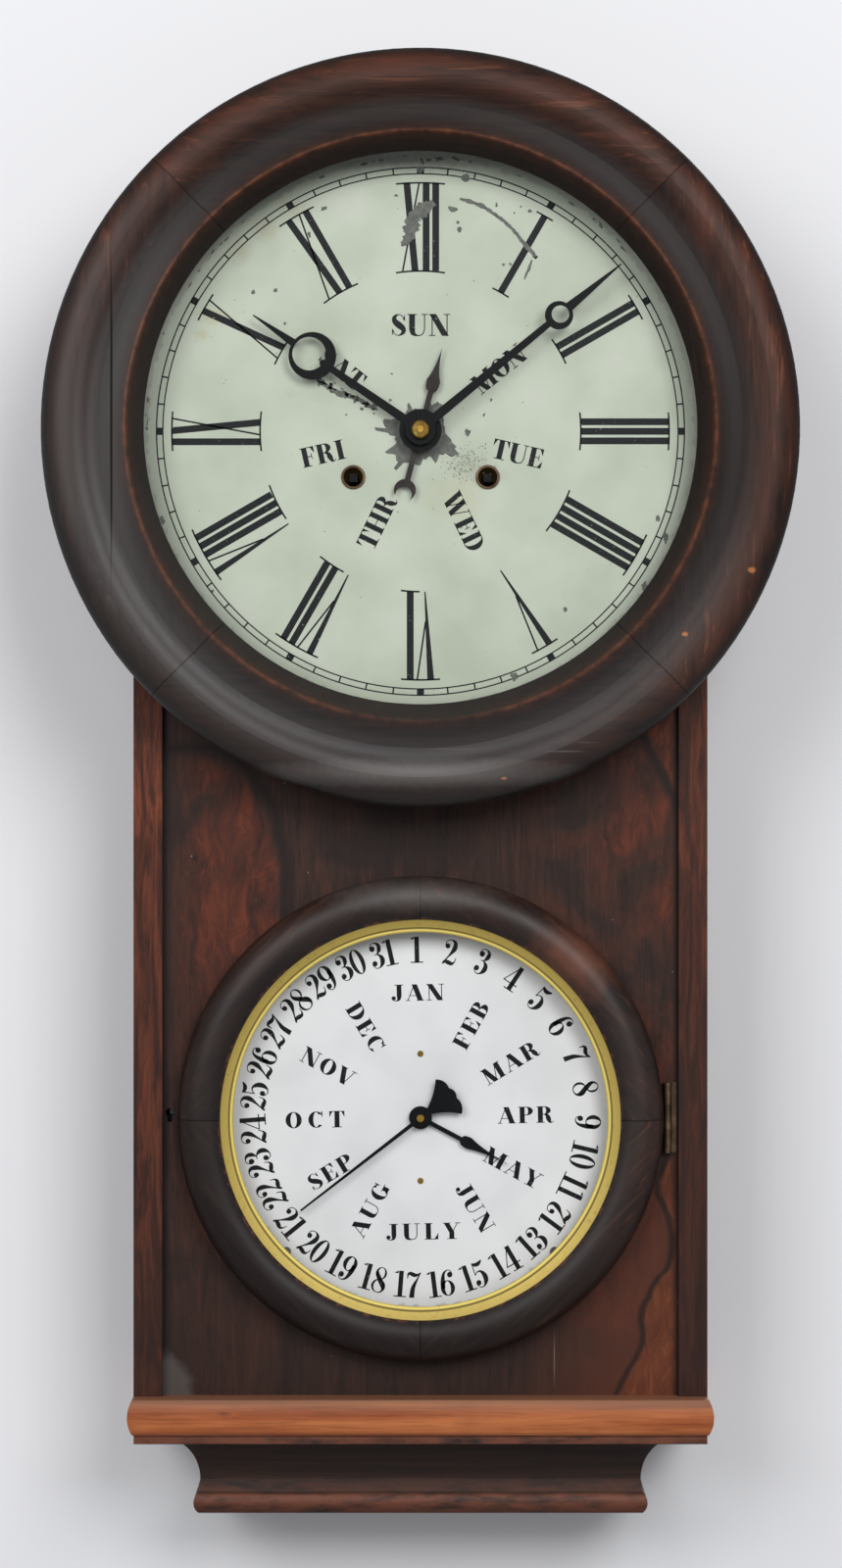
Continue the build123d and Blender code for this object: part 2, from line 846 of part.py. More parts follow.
# Front panel round the calendar, with its keyhole and the slot for the door's catch
keyhole_z = keyhole_rise - calendar_drop
catch_half = catch_width / 2
hinge_half = hinge_length / 2
calendar_leaf = (
    calendar_ring_radius + bolt_stand,
    inner_half - bolt_stand,
    -calendar_drop - hinge_half,
    -calendar_drop + hinge_half,
    panel_front - leaf_thickness,
    panel_front,
)
with BuildPart() as front_panel:
    slab(-inner_half, inner_half, -case_drop, panel_rise, panel_back, panel_front)
    cut_disc(calendar_panel_hole, panel_back, panel_front, *calendar_at)
    cut_disc(keyhole_radius, panel_back, panel_front, -keyhole_reach, keyhole_z)
    slab(
        -keyhole_reach - keyhole_slot_width / 2,
        -keyhole_reach + keyhole_slot_width / 2,
        keyhole_z - keyhole_slot_length,
        keyhole_z,
        panel_back - overrun,
        panel_front + overrun,
        mode=Mode.SUBTRACT,
    )
    slab(
        -catch_reach - catch_slot_play,
        -catch_reach + catch_thickness + catch_slot_play,
        -calendar_drop - catch_half - catch_slot_play,
        -calendar_drop + catch_half + catch_slot_play,
        panel_back - overrun,
        panel_front + overrun,
        mode=Mode.SUBTRACT,
    )
    slab(*calendar_leaf, mode=Mode.SUBTRACT)
    screw_holes(calendar_screw_planes)
keep(front_panel.part, "front_panel")

# Round head frame that carries the dial and the head door's hinge
head_leaf = (
    head_frame_radius - leaf_thickness,
    head_frame_radius,
    -hinge_half,
    hinge_half,
    case_depth,
    dial_back,
)
with BuildPart() as head_frame:
    disc(head_frame_radius, case_depth, dial_back)
    cut_disc(head_frame_opening, case_depth, dial_back)
    slab(
        head_leaf[0],
        head_frame_radius + overrun,
        -hinge_half,
        hinge_half,
        case_depth,
        dial_back,
        mode=Mode.SUBTRACT,
    )
    screw_holes(dial_screw_planes)
keep(head_frame.part, "head_frame")

# Upright rails that carry the movement behind the head frame
with BuildPart() as movement_rails:
    for side in (-1, 1):
        edges = sorted((side * rail_inner, side * (rail_inner + rail_width)))
        slab(*edges, -rail_drop, rail_rise, front_plate_front, case_depth)
    screw_holes(plate_screw_planes)
keep(movement_rails.part, "movement_rails")

# Time dial and the eyelets in its winding holes
winding_places = [(side * winding_spread, -winding_drop) for side in (-1, 1)]
with BuildPart() as time_dial:
    disc(dial_radius, dial_back, dial_front)
    cut_disc(dial_centre_hole, dial_back, dial_front)
    for place in winding_places:
        cut_disc(winding_hole_radius + grommet_wall + seat_fit, dial_back, dial_front, *place)
    screw_holes(dial_screw_planes)
keep(time_dial.part, "time_dial")

with BuildPart() as winding_grommets:
    for place in winding_places:
        disc(winding_hole_radius + grommet_wall, dial_back, dial_front + grommet_flange_height, *place)
        disc(
            winding_hole_radius + grommet_flange, dial_front, dial_front + grommet_flange_height, *place
        )
        cut_disc(winding_hole_radius, dial_back, dial_front, *place)
    fillet(
        winding_grommets.edges().filter_by(GeomType.CIRCLE).group_by(Axis.Y)[0],
        radius=grommet_flange_height / 4,
    )
keep(winding_grommets.part, "winding_grommets")

# Calendar dial and the plate behind it that carries the calendar work
calendar_plate_front = calendar_plate_depth + calendar_plate_thickness
pillar_places = [(0, side * calendar_pillar_reach - calendar_drop) for side in (-1, 1)]
with BuildPart() as calendar_dial:
    disc(calendar_dial_radius, panel_front, calendar_dial_front, *calendar_at)
    cut_disc(calendar_dial_hole, panel_front, calendar_dial_front, *calendar_at)
    for place in pillar_places:
        cut_disc(calendar_pillar_pin + seat_fit, panel_front, calendar_dial_front, *place)
    screw_holes(calendar_screw_planes)
keep(calendar_dial.part, "calendar_dial")

rod_x = trip_x - (trip_arm**2 - (rod_travel / 2) ** 2) ** 0.5
date_wheel_depth = calendar_plate_depth - date_wheel_gap - wheel_thickness
rod_low_depth = date_wheel_depth + wheel_thickness / 2
month_depth = calendar_plate_front + month_level
idler_depth = calendar_plate_front + date_pinion_level + (pinion_face - wheel_thickness) / 2
idler_pinion_end = month_depth + pinion_face - wheel_thickness
with BuildPart() as calendar_plate:
    slab(
        -calendar_plate_left,
        calendar_plate_right,
        -calendar_drop - calendar_plate_drop,
        -calendar_drop + calendar_plate_rise,
        calendar_plate_depth,
        calendar_plate_front,
    )
    for place in pillar_places:
        disc(calendar_pillar_radius, calendar_plate_front, panel_front, *place)
        disc(calendar_pillar_pin, panel_front, calendar_dial_front + calendar_pillar_head, *place)
    disc(stud_radius, calendar_plate_front, idler_pinion_end + arbor_overhang, *idler_at)
    slab(
        rod_x - rod_guide_half,
        rod_x + rod_guide_half,
        rod_guide_rise - rod_guide_half - calendar_drop,
        rod_guide_rise + rod_guide_half - calendar_drop,
        rod_low_depth - rod_guide_half,
        calendar_plate_depth,
    )
    upright(
        rod_radius + running_fit,
        rod_guide_rise - 2 * rod_guide_half - calendar_drop,
        rod_guide_rise + 2 * rod_guide_half - calendar_drop,
        rod_x,
        rod_low_depth,
        mode=Mode.SUBTRACT,
    )
    cut_disc(date_arbor_radius + running_fit, calendar_plate_depth, calendar_plate_front, *calendar_at)
keep(calendar_plate.part, "calendar_plate")

# Hanger: an angle of sheet brass on the top board, with the nail hole above it
hanger_half = hanger_width / 2
with BuildPart() as hanger_plate:
    slab(-hanger_half, hanger_half, case_rise, hanger_rise + hanger_top_margin, 0, hanger_thickness)
    slab(-hanger_half, hanger_half, case_rise, case_rise + hanger_thickness, 0, hanger_leg)
    cut_disc(hanger_hole_radius, 0, hanger_thickness, 0, hanger_rise)
    screw_holes(hanger_screw_planes)
keep(hanger_plate.part, "hanger_plate")

# Round-head screws of the dials, the movement and the hanger
with BuildPart() as wood_screws:
    for plane in dial_screw_planes + calendar_screw_planes + plate_screw_planes + hanger_screw_planes:
        screw(plane)
keep(wood_screws.part, "wood_screws")

# Hinges: the case leaves hold the outer knuckles and the pins, the door leaves the middle knuckles
head_hinge_x = head_frame_radius + head_hinge_offset
head_hinge_depth = head_back - head_hinge_setback
calendar_hinge_x = calendar_ring_radius + calendar_hinge_offset
calendar_hinge_depth = panel_front + calendar_hinge_stand
middle_half = hinge_length / 6
outer_spans = [(-hinge_half, -middle_half - knuckle_gap), (middle_half + knuckle_gap, hinge_half)]
with BuildPart() as hinge_case_leaves:
    slab(*head_leaf)
    slab(*calendar_leaf)
    for low, high in outer_spans:
        upright(knuckle_radius, low, high, head_hinge_x, head_hinge_depth)
        slab(
            head_leaf[0],
            head_hinge_x,
            low,
            high,
            head_hinge_depth - leaf_thickness / 2,
            head_hinge_depth + leaf_thickness / 2,
        )
        low, high = low - calendar_drop, high - calendar_drop
        upright(knuckle_radius, low, high, calendar_hinge_x, calendar_hinge_depth)
        slab(
            calendar_hinge_x - leaf_thickness / 2,
            calendar_hinge_x + leaf_thickness / 2,
            low,
            high,
            panel_front - leaf_thickness,
            calendar_hinge_depth,
        )
    upright(hinge_pin_radius, -hinge_half, hinge_half, head_hinge_x, head_hinge_depth)
    upright(
        hinge_pin_radius,
        -hinge_half - calendar_drop,
        hinge_half - calendar_drop,
        calendar_hinge_x,
        calendar_hinge_depth,
    )
keep(hinge_case_leaves.part, "hinge_case_leaves")

head_pocket = (
    head_hinge_x - leaf_width,
    head_hinge_x,
    -hinge_half,
    hinge_half,
    head_back,
    head_back + leaf_thickness,
)
with BuildPart() as head_hinge_leaf:
    slab(*head_pocket)
    slab(
        head_hinge_x - leaf_thickness,
        head_hinge_x,
        -middle_half,
        middle_half,
        head_hinge_depth,
        head_back + leaf_thickness,
    )
    upright(knuckle_radius, -middle_half, middle_half, head_hinge_x, head_hinge_depth)
    upright(
        hinge_pin_radius + running_fit,
        -middle_half - overrun,
        middle_half + overrun,
        head_hinge_x,
        head_hinge_depth,
        mode=Mode.SUBTRACT,
    )
keep(head_hinge_leaf.part, "head_hinge_leaf")

calendar_pocket = (
    calendar_hinge_x - leaf_width,
    calendar_ring_radius - leaf_thickness * 2,
    -hinge_half - calendar_drop,
    hinge_half - calendar_drop,
    calendar_back,
    calendar_back + leaf_thickness,
)
calendar_tongue = (
    calendar_hinge_x - leaf_width,
    calendar_hinge_x,
    -middle_half - calendar_drop,
    middle_half - calendar_drop,
    calendar_back,
    calendar_back + leaf_thickness,
)
with BuildPart() as calendar_hinge_leaf:
    slab(*calendar_pocket)
    slab(*calendar_tongue)
    upright(
        knuckle_radius,
        -middle_half - calendar_drop,
        middle_half - calendar_drop,
        calendar_hinge_x,
        calendar_hinge_depth,
    )
    upright(
        hinge_pin_radius + running_fit,
        -middle_half - calendar_drop - overrun,
        middle_half - calendar_drop + overrun,
        calendar_hinge_x,
        calendar_hinge_depth,
        mode=Mode.SUBTRACT,
    )
keep(calendar_hinge_leaf.part, "calendar_hinge_leaf")

# Lock of the calendar door: a case behind the panel, a bolt that slides in it and the door's catch
lock_left = -inner_half + bolt_stand / 2
lock_right = lock_left + lock_case_width
bolt_tip = -catch_reach - bolt_stand
bolt_tail = bolt_tip - bolt_length
bolt_depth = panel_back - bolt_depth_below_panel
bolt_low = -calendar_drop - bolt_width / 2
bolt_high = -calendar_drop + bolt_width / 2
with BuildPart() as lock_case:
    slab(
        lock_left,
        lock_right,
        keyhole_z - lock_case_height / 2,
        keyhole_z + lock_case_height / 2,
        panel_back - lock_case_depth,
        panel_back,
    )
    slab(
        bolt_tail - bolt_stand / 2,
        lock_right + overrun,
        bolt_low - running_fit,
        bolt_high + running_fit,
        bolt_depth - bolt_thickness / 2 - running_fit,
        bolt_depth + bolt_thickness / 2 + running_fit,
        mode=Mode.SUBTRACT,
    )
    disc(keyhole_radius, bolt_depth, panel_back + overrun, -keyhole_reach, keyhole_z, Mode.SUBTRACT)
keep(lock_case.part, "lock_case")

with BuildPart() as lock_bolt:
    slab(
        bolt_tail,
        bolt_tip,
        bolt_low,
        bolt_high,
        bolt_depth - bolt_thickness / 2,
        bolt_depth + bolt_thickness / 2,
    )
    slab(
        bolt_tail + bolt_thickness / 2,
        bolt_tail + bolt_thickness * 3 / 2,
        bolt_high - bolt_thickness / 2,
        bolt_high + overrun,
        bolt_depth - bolt_thickness,
        bolt_depth + bolt_thickness,
        mode=Mode.SUBTRACT,
    )
keep(lock_bolt.part, "lock_bolt")

with BuildPart() as calendar_catch:
    slab(
        -catch_reach,
        -catch_reach + catch_thickness,
        -calendar_drop - catch_half,
        -calendar_drop + catch_half,
        calendar_back - catch_length,
        calendar_back,
    )
    slab(
        -catch_reach - overrun,
        -catch_reach + catch_thickness + overrun,
        bolt_low - door_gap,
        bolt_high + door_gap,
        bolt_depth - bolt_thickness / 2 - door_gap,
        bolt_depth + bolt_thickness / 2 + door_gap,
        mode=Mode.SUBTRACT,
    )
keep(calendar_catch.part, "calendar_catch")


def radial_plane(depth, z, anticlockwise):
    """Plane through a dial's axis: outwards along its x, towards the room along its y."""
    turn = radians(anticlockwise)
    return Plane(
        origin=(0, -depth, hand_height + z),
        x_dir=(cos(turn), 0, sin(turn)),
        z_dir=(sin(turn), 0, -cos(turn)),
    )


def dial_axis(z):
    return Axis((0, 0, hand_height + z), (0, -1, 0))


# Head ring: four lengths of turned moulding, mitred on the diagonals
head_glass_radius = head_opening_radius + head_glass_lap
head_seat_height = head_lip_height - head_lip_thickness
head_recess_height = head_seat_height - glass_thickness
head_lengths = []
for quarter in range(4):
    with BuildPart() as head_length:
        with BuildSketch(radial_plane(head_back, 0, seam_turn + 90 * quarter)):
            with BuildLine():
                Polyline(
                    (head_arris_radius, head_arris_height),
                    (head_opening_radius, head_lip_height),
                    (head_opening_radius, head_seat_height),
                    (head_glass_radius + seat_fit, head_seat_height),
                    (head_glass_radius + seat_fit, head_recess_height),
                    (head_recess_radius, head_recess_height),
                    (head_recess_radius, 0),
                    (head_radius, 0),
                    (head_radius, head_side_height),
                )
                TangentArc(
                    (head_radius, head_side_height),
                    (head_shoulder_radius, head_shoulder_height),
                    tangent=(0, 1),
                )
                TangentArc(
                    (head_crest_radius, head_crest_height),
                    (head_shoulder_radius, head_shoulder_height),
                    tangent=(1, 0),
                )
                TangentArc(
                    (head_crest_radius, head_crest_height),
                    (head_turn_radius, head_turn_height),
                    tangent=(-1, 0),
                )
                TangentArc(
                    (head_valley_radius, head_valley_height),
                    (head_turn_radius, head_turn_height),
                    tangent=(1, 0),
                )
                TangentArc(
                    (head_valley_radius, head_valley_height),
                    (head_arris_radius, head_arris_height),
                    tangent=(-1, 0),
                )
            make_face()
        revolve(axis=dial_axis(0), revolution_arc=90)
        slab(*head_pocket, mode=Mode.SUBTRACT)
    head_lengths.append(head_length.part)
keep(Compound(children=head_lengths), "head_ring")

with BuildPart() as head_glass:
    disc(head_glass_radius, head_back + head_recess_height, head_back + head_seat_height)
keep(head_glass.part, "head_glass")

# Calendar ring: four turned lengths with seams at twelve, three, six and nine
calendar_lengths = []
for quarter in range(4):
    with BuildPart() as calendar_length:
        with BuildSketch(radial_plane(calendar_back, -calendar_drop, 90 * quarter)):
            with BuildLine():
                Polyline(
                    (calendar_ring_inner, calendar_ring_inner_height),
                    (calendar_ring_inner, 0),
                    (calendar_ring_radius, 0),
                    (calendar_ring_radius, calendar_ring_side),
                )
                ThreePointArc(
                    (calendar_ring_radius, calendar_ring_side),
                    (calendar_ring_crest_radius, calendar_ring_crest),
                    (calendar_ring_inner, calendar_ring_inner_height),
                )
            make_face()
        revolve(axis=dial_axis(-calendar_drop), revolution_arc=90)
        slab(*calendar_pocket, mode=Mode.SUBTRACT)
        slab(*calendar_tongue, mode=Mode.SUBTRACT)
    calendar_lengths.append(calendar_length.part)
keep(Compound(children=calendar_lengths), "calendar_ring")

# Brass bezel inside the calendar ring, with its band, its bead and the skirt round the glass
bezel_outer = calendar_ring_inner - seat_fit
bezel_skirt_inner = bezel_outer - bezel_wall
bezel_bead_top = bezel_rim_height - bezel_band_drop
bezel_seat = bezel_bead_top - 2 * bezel_bead_radius
with BuildPart() as calendar_bezel:
    with BuildSketch(radial_plane(calendar_back, -calendar_drop, 0)):
        with BuildLine():
            Polyline(
                (bezel_inner + bezel_bead_radius, bezel_seat),
                (bezel_skirt_inner, bezel_seat),
                (bezel_skirt_inner, bezel_rim_height - bezel_skirt),
                (bezel_outer, bezel_rim_height - bezel_skirt),
                (bezel_outer, bezel_rim_height),
                (bezel_band_inner, bezel_bead_top),
                (bezel_inner + bezel_bead_radius, bezel_bead_top),
            )
            ThreePointArc(
                (bezel_inner + bezel_bead_radius, bezel_bead_top),
                (bezel_inner, bezel_bead_top - bezel_bead_radius),
                (bezel_inner + bezel_bead_radius, bezel_seat),
            )
        make_face()
    revolve(axis=dial_axis(-calendar_drop))
keep(calendar_bezel.part, "calendar_bezel")

with BuildPart() as calendar_glass:
    disc(
        calendar_glass_radius,
        calendar_back + bezel_seat - glass_thickness,
        calendar_back + bezel_seat,
        *calendar_at,
    )
keep(calendar_glass.part, "calendar_glass")


# Spirals of half turns on two centres, each half turn wider than the last
def spiral_arcs(start, pitch, half_turns):
    """Draw a spiral in the plane of the line being built."""
    for n in range(half_turns):
        CenterArc(((n % 2) * pitch / 2, 0), start + n * pitch / 2, 180 * n, 180)


def spiral_end(start, pitch, half_turns):
    """Reach of the spiral's outer end from its first centre, on the right."""
    return start + half_turns * pitch / 2


def self_gap(line, thickness, half_turns):
    """Least room between neighbouring turns of a wound strip or wire, from points along it."""
    steps = 12 * half_turns
    points = [line @ (n / steps) for n in range(steps + 1)]
    apart = [
        dist(tuple(points[a]), tuple(points[b]))
        for a in range(len(points))
        for b in range(a + 15, len(points))
    ]
    return min(apart) - thickness


# Gong: a coil of flat-wound wire whose inner end stands on the lug of its block
gong_at = (gong_x, -gong_drop)
with BuildPart() as gong_coil:
    with BuildLine(room_plane(gong_depth, *gong_at)) as gong_line:
        spiral_arcs(gong_inner_radius, gong_pitch, gong_half_turns)
    with BuildSketch(Plane(origin=gong_line.line @ 0, z_dir=gong_line.line % 0)):
        Circle(gong_wire_radius)
    sweep()
keep(gong_coil.part, "gong_coil")
gong_gap = self_gap(gong_line.line, 2 * gong_wire_radius, gong_half_turns)
print(f"gong_coil least room between turns {gong_gap:.2f} mm")

with BuildPart() as gong_stand:
    disc(gong_stand_radius, back_thickness, gong_depth + gong_stand_overrise, *gong_at)
    slab(
        gong_x,
        gong_x + gong_inner_radius + gong_wire_radius,
        -gong_drop - gong_lug_height,
        -gong_drop,
        back_thickness,
        gong_depth + gong_stand_overrise,
    )
keep(gong_stand.part, "gong_stand")

# Movement plates: the back plate carries the pillars and the pendulum's cock, the front plate the studs
plain_places = [second_at, third_at, escape_at, verge_at, pin_at, warning_at, fly_at, hammer_at]
pivot_holes = [(place, arbor_radius) for place in plain_places]
pivot_holes += [(time_at, winding_radius), (strike_at, winding_radius), (centre_at, centre_arbor_radius)]
pillar_corners = [
    (side * (plate_half_width - pillar_margin), z)
    for side in (-1, 1)
    for z in (plate_rise - pillar_margin, pillar_margin - plate_drop)
]
strip_half = suspension_strip_width / 2
cock_bottom = suspension_rise - cock_half_height
cock_top = suspension_rise + cock_half_height
with BuildPart() as back_plate:
    slab(-plate_half_width, plate_half_width, -plate_drop, plate_rise, movement_stand, wheel_zero)
    for place in pillar_corners:
        disc(pillar_radius, wheel_zero, front_plate_back, *place)
        disc(pillar_pin_radius, front_plate_back, front_plate_front, *place)
    slab(-cock_half_width, cock_half_width, cock_bottom, cock_top, cock_depth, movement_stand)
    slab(
        -cock_slot / 2,
        cock_slot / 2,
        cock_bottom - overrun,
        cock_top + overrun,
        cock_depth + cock_wall,
        pendulum_depth + strip_half + near_gap * 2,
        mode=Mode.SUBTRACT,
    )
    disc(
        suspension_pin_radius + running_fit,
        cock_depth - overrun,
        movement_stand,
        0,
        suspension_rise,
        mode=Mode.SUBTRACT,
    )
    for place, radius in pivot_holes:
        cut_disc(radius + running_fit, movement_stand, wheel_zero, *place)
keep(back_plate.part, "back_plate")

minute_depth = front_plate_front + motion_level + (pinion_face - wheel_thickness) / 2
hour_driver_end = minute_depth + wheel_thickness + pinion_face
day_depth = front_plate_front + day_level
weekday_depth = front_plate_front + weekday_level
weekday_driver_end = weekday_depth + wheel_thickness + near_gap
trip_depth = front_plate_front + trip_level
trip_end = trip_depth + trip_arm_thickness
spring_inner = winding_radius + near_gap + spring_thickness / 2
spring_half_turns = 2 * spring_turns
spring_reach = spiral_end(spring_inner, spring_pitch, spring_half_turns)
spring_rear = wheel_zero + spring_level
with BuildPart() as front_plate:
    slab(-plate_half_width, plate_half_width, -plate_drop, plate_rise, front_plate_back, front_plate_front)
    disc(stud_radius, front_plate_front, hour_driver_end + arbor_overhang, *minute_at)
    disc(stud_radius, front_plate_front, weekday_driver_end + arbor_overhang, *day_at)
    disc(stud_radius, front_plate_front, trip_end + arbor_overhang, trip_x, trip_rise)
    for x, z in (time_at, strike_at):
        slab(
            x + spring_reach - spring_post_half,
            x + spring_reach + spring_post_half,
            z,
            z + spring_post_height,
            spring_rear,
            front_plate_back,
        )
    for place, radius in pivot_holes:
        cut_disc(radius + running_fit, front_plate_back, front_plate_front, *place)
    for place in pillar_corners:
        cut_disc(pillar_pin_radius + seat_fit, front_plate_back, front_plate_front, *place)
    screw_holes(plate_screw_planes)
keep(front_plate.part, "front_plate")

# Mainsprings, each wound round its winding arbor with its outer end on a post of the front plate
with BuildPart() as mainsprings:
    for place in (time_at, strike_at):
        with BuildSketch(room_plane(spring_rear, *place)) as strip:
            with BuildLine():
                for edge in (-spring_thickness / 2, spring_thickness / 2):
                    spiral_arcs(spring_inner + edge, spring_pitch, spring_half_turns)
                for reach in (spring_inner, spring_reach):
                    Line((reach - spring_thickness / 2, 0), (reach + spring_thickness / 2, 0))
            make_face()
        extrude(strip.sketch, amount=spring_width)
keep(mainsprings.part, "mainsprings")
with BuildLine() as spring_line:
    spiral_arcs(spring_inner, spring_pitch, spring_half_turns)
spring_gap = self_gap(spring_line.line, spring_thickness, spring_half_turns)
print(f"mainsprings least room between turns {spring_gap:.2f} mm")


def arbor(place, rear=movement_stand - arbor_overhang):
    """Plain arbor from behind the back plate to just in front of the front plate."""
    disc(arbor_radius, rear, front_plate_front + arbor_overhang, *place)


def beside(level):
    """Rear of a pinion that meets the wheel at a level, with the wheel in the middle of its face."""
    return wheel_zero + level - (pinion_face - wheel_thickness) / 2


# Great wheels turn loose on the winding arbors and carry the clicks
great_front = wheel_zero + great_level + great_thickness
ratchet_rear = great_front + ratchet_gap
ratchet_front = ratchet_rear + ratchet_thickness


def great_wheel(gear):
    toothed(gear, wheel_zero + great_level, great_thickness, wheel_arms)
    with BuildSketch(room_plane(great_front, gear.x, gear.z, 180 / wheel_arms)) as click:
        with Locations((0, ratchet_radius + near_gap * 2 + click_width / 2)):
            Rectangle(click_length, click_width)
    extrude(click.sketch, amount=ratchet_front - great_front)


def winding_arbor(place):
    disc(winding_radius, movement_stand - arbor_overhang, winding_end - winding_square_length, *place)
    slab(
        place[0] - winding_square / 2,
        place[0] + winding_square / 2,
        place[1] - winding_square / 2,
        place[1] + winding_square / 2,
        winding_end - winding_square_length,
        winding_end,
    )
    sawtooth(ratchet_radius, ratchet_depth, ratchet_teeth, ratchet_rear, ratchet_thickness, *place)


with BuildPart() as time_great_wheel:
    great_wheel(time_great)
    cut_disc(winding_radius + running_fit, wheel_zero, ratchet_front, *time_at)
keep(time_great_wheel.part, "time_great_wheel")

with BuildPart() as time_winding_arbor:
    winding_arbor(time_at)
keep(time_winding_arbor.part, "time_winding_arbor")

# The strike's great wheel carries the count wheel, one notch after each hour's number of strokes
with BuildPart() as strike_great_wheel:
    great_wheel(strike_great)
    with BuildSketch(room_plane(wheel_zero + great_level - count_thickness, *strike_at)) as count:
        Circle(count_radius)
        for hour in range(1, 13):
            turn = 360 * (hour * (hour + 1) / 2) / count_divisions
            with Locations(Location((*on_circle(count_radius, turn), 0), (0, 0, -turn))):
                Rectangle(count_notch_width, 2 * count_notch_depth, mode=Mode.SUBTRACT)
        with PolarLocations(crossing_reach_share * root_radius(strike_great), wheel_arms):
            Circle(crossing_radius_share * root_radius(strike_great), mode=Mode.SUBTRACT)
    extrude(count.sketch, amount=count_thickness)
    cut_disc(winding_radius + running_fit, wheel_zero, ratchet_front, *strike_at)
keep(strike_great_wheel.part, "strike_great_wheel")

with BuildPart() as strike_winding_arbor:
    winding_arbor(strike_at)
keep(strike_winding_arbor.part, "strike_winding_arbor")

# Going train
with BuildPart() as intermediate_wheel:
    arbor(second_at)
    toothed(time_pinion, wheel_zero + great_pinion_level, pinion_face)
    toothed(second_gear, wheel_zero + second_level, wheel_thickness, wheel_arms)
keep(intermediate_wheel.part, "intermediate_wheel")

with BuildPart() as centre_wheel:
    disc(centre_arbor_radius, movement_stand - arbor_overhang, nut_depth + nut_height + arbor_overhang)
    toothed(centre_pinion, beside(second_level), pinion_face)
    toothed(centre_gear, wheel_zero + centre_level, wheel_thickness, wheel_arms)
    toothed(minute_pinion, front_plate_front + motion_level, pinion_face)
keep(centre_wheel.part, "centre_wheel")

with BuildPart() as third_wheel:
    arbor(third_at)
    toothed(third_pinion, beside(centre_level), pinion_face)
    toothed(third_gear, wheel_zero + third_level, wheel_thickness, wheel_arms)
keep(third_wheel.part, "third_wheel")

with BuildPart() as escape_wheel:
    arbor(escape_at)
    toothed(escape_pinion, beside(third_level), pinion_face)
    sawtooth(
        escape_radius,
        escape_radius - escape_root,
        escape_teeth,
        wheel_zero + escape_level,
        wheel_thickness,
        *escape_at,
        wheel_arms,
    )
keep(escape_wheel.part, "escape_wheel")

# Verge: the curved pallet strip over the escape wheel, its arbor and the crutch behind the plate
verge_rear = wheel_zero + escape_level - (verge_thickness - wheel_thickness) / 2
crutch_foot = verge_rise - crutch_length
crutch_pin_x = pendulum_rod_radius + crutch_play + crutch_pin_radius
crutch_foot_half = crutch_pin_x + 2 * crutch_pin_radius
with BuildPart() as verge:
    arbor(verge_at, crutch_depth)
    with BuildSketch(room_plane(verge_rear, *escape_at)) as anchor:
        with BuildLine():
            for reach in (verge_inner_radius, verge_inner_radius + verge_band):
                CenterArc((0, 0), reach, 90 - verge_reach, 2 * verge_reach)
            for side in (-1, 1):
                Line(
                    on_circle(verge_inner_radius, side * verge_reach),
                    on_circle(verge_inner_radius + verge_band, side * verge_reach),
                )
        make_face()
    extrude(anchor.sketch, amount=verge_thickness)
    disc(verge_hub_radius, verge_rear, verge_rear + verge_thickness, *verge_at)
    disc(verge_hub_radius, crutch_depth, crutch_depth + crutch_thickness, *verge_at)
    slab(
        -crutch_width / 2,
        crutch_width / 2,
        crutch_foot,
        verge_rise,
        crutch_depth,
        crutch_depth + crutch_thickness,
    )
    slab(
        -crutch_foot_half,
        crutch_foot_half,
        crutch_foot - 2 * crutch_pin_radius,
        crutch_foot + 2 * crutch_pin_radius,
        crutch_depth,
        crutch_depth + crutch_thickness,
    )
    for side in (-1, 1):
        disc(
            crutch_pin_radius,
            pendulum_depth - 2 * pendulum_rod_radius,
            crutch_depth,
            side * crutch_pin_x,
            crutch_foot,
        )
keep(verge.part, "verge")

# Pendulum: suspension pin and strip, rod with its rating nut, and the lens-shaped bob
bob_z = suspension_rise - pendulum_length
rod_foot_z = bob_z - bob_radius - rating_nut_height - rating_tail
strip_foot = suspension_rise - suspension_strip_length
with BuildPart() as pendulum_rod:
    disc(
        suspension_pin_radius,
        cock_depth + arbor_overhang,
        movement_stand - cock_wall,
        0,
        suspension_rise,
    )
    slab(
        -suspension_strip_thickness / 2,
        suspension_strip_thickness / 2,
        strip_foot,
        suspension_rise,
        pendulum_depth - strip_half,
        pendulum_depth + strip_half,
    )
    upright(pendulum_rod_radius, rod_foot_z, strip_foot + strip_half, 0, pendulum_depth)
    upright(rating_nut_radius, rod_foot_z + rating_tail, bob_z - bob_radius, 0, pendulum_depth)
keep(pendulum_rod.part, "pendulum_rod")

with BuildPart() as pendulum_bob:
    with BuildSketch(radial_plane(pendulum_depth, bob_z, 0)):
        with BuildLine():
            lens_front = Bezier(
                (0, bob_thickness / 2),
                (bob_radius / 2, bob_thickness / 2),
                (bob_radius, bob_rim / 2),
            )
            lens_rear = Bezier(
                (bob_radius, -bob_rim / 2),
                (bob_radius / 2, -bob_thickness / 2),
                (0, -bob_thickness / 2),
            )
            Line(lens_front @ 1, lens_rear @ 0)
            Line(lens_rear @ 1, lens_front @ 0)
        make_face()
    revolve(axis=Axis((0, 0, hand_height + bob_z), (0, -1, 0)))
    upright(
        pendulum_rod_radius + seat_fit,
        bob_z - bob_radius - overrun,
        bob_z + bob_radius + overrun,
        0,
        pendulum_depth,
        mode=Mode.SUBTRACT,
    )
keep(pendulum_bob.part, "pendulum_bob")

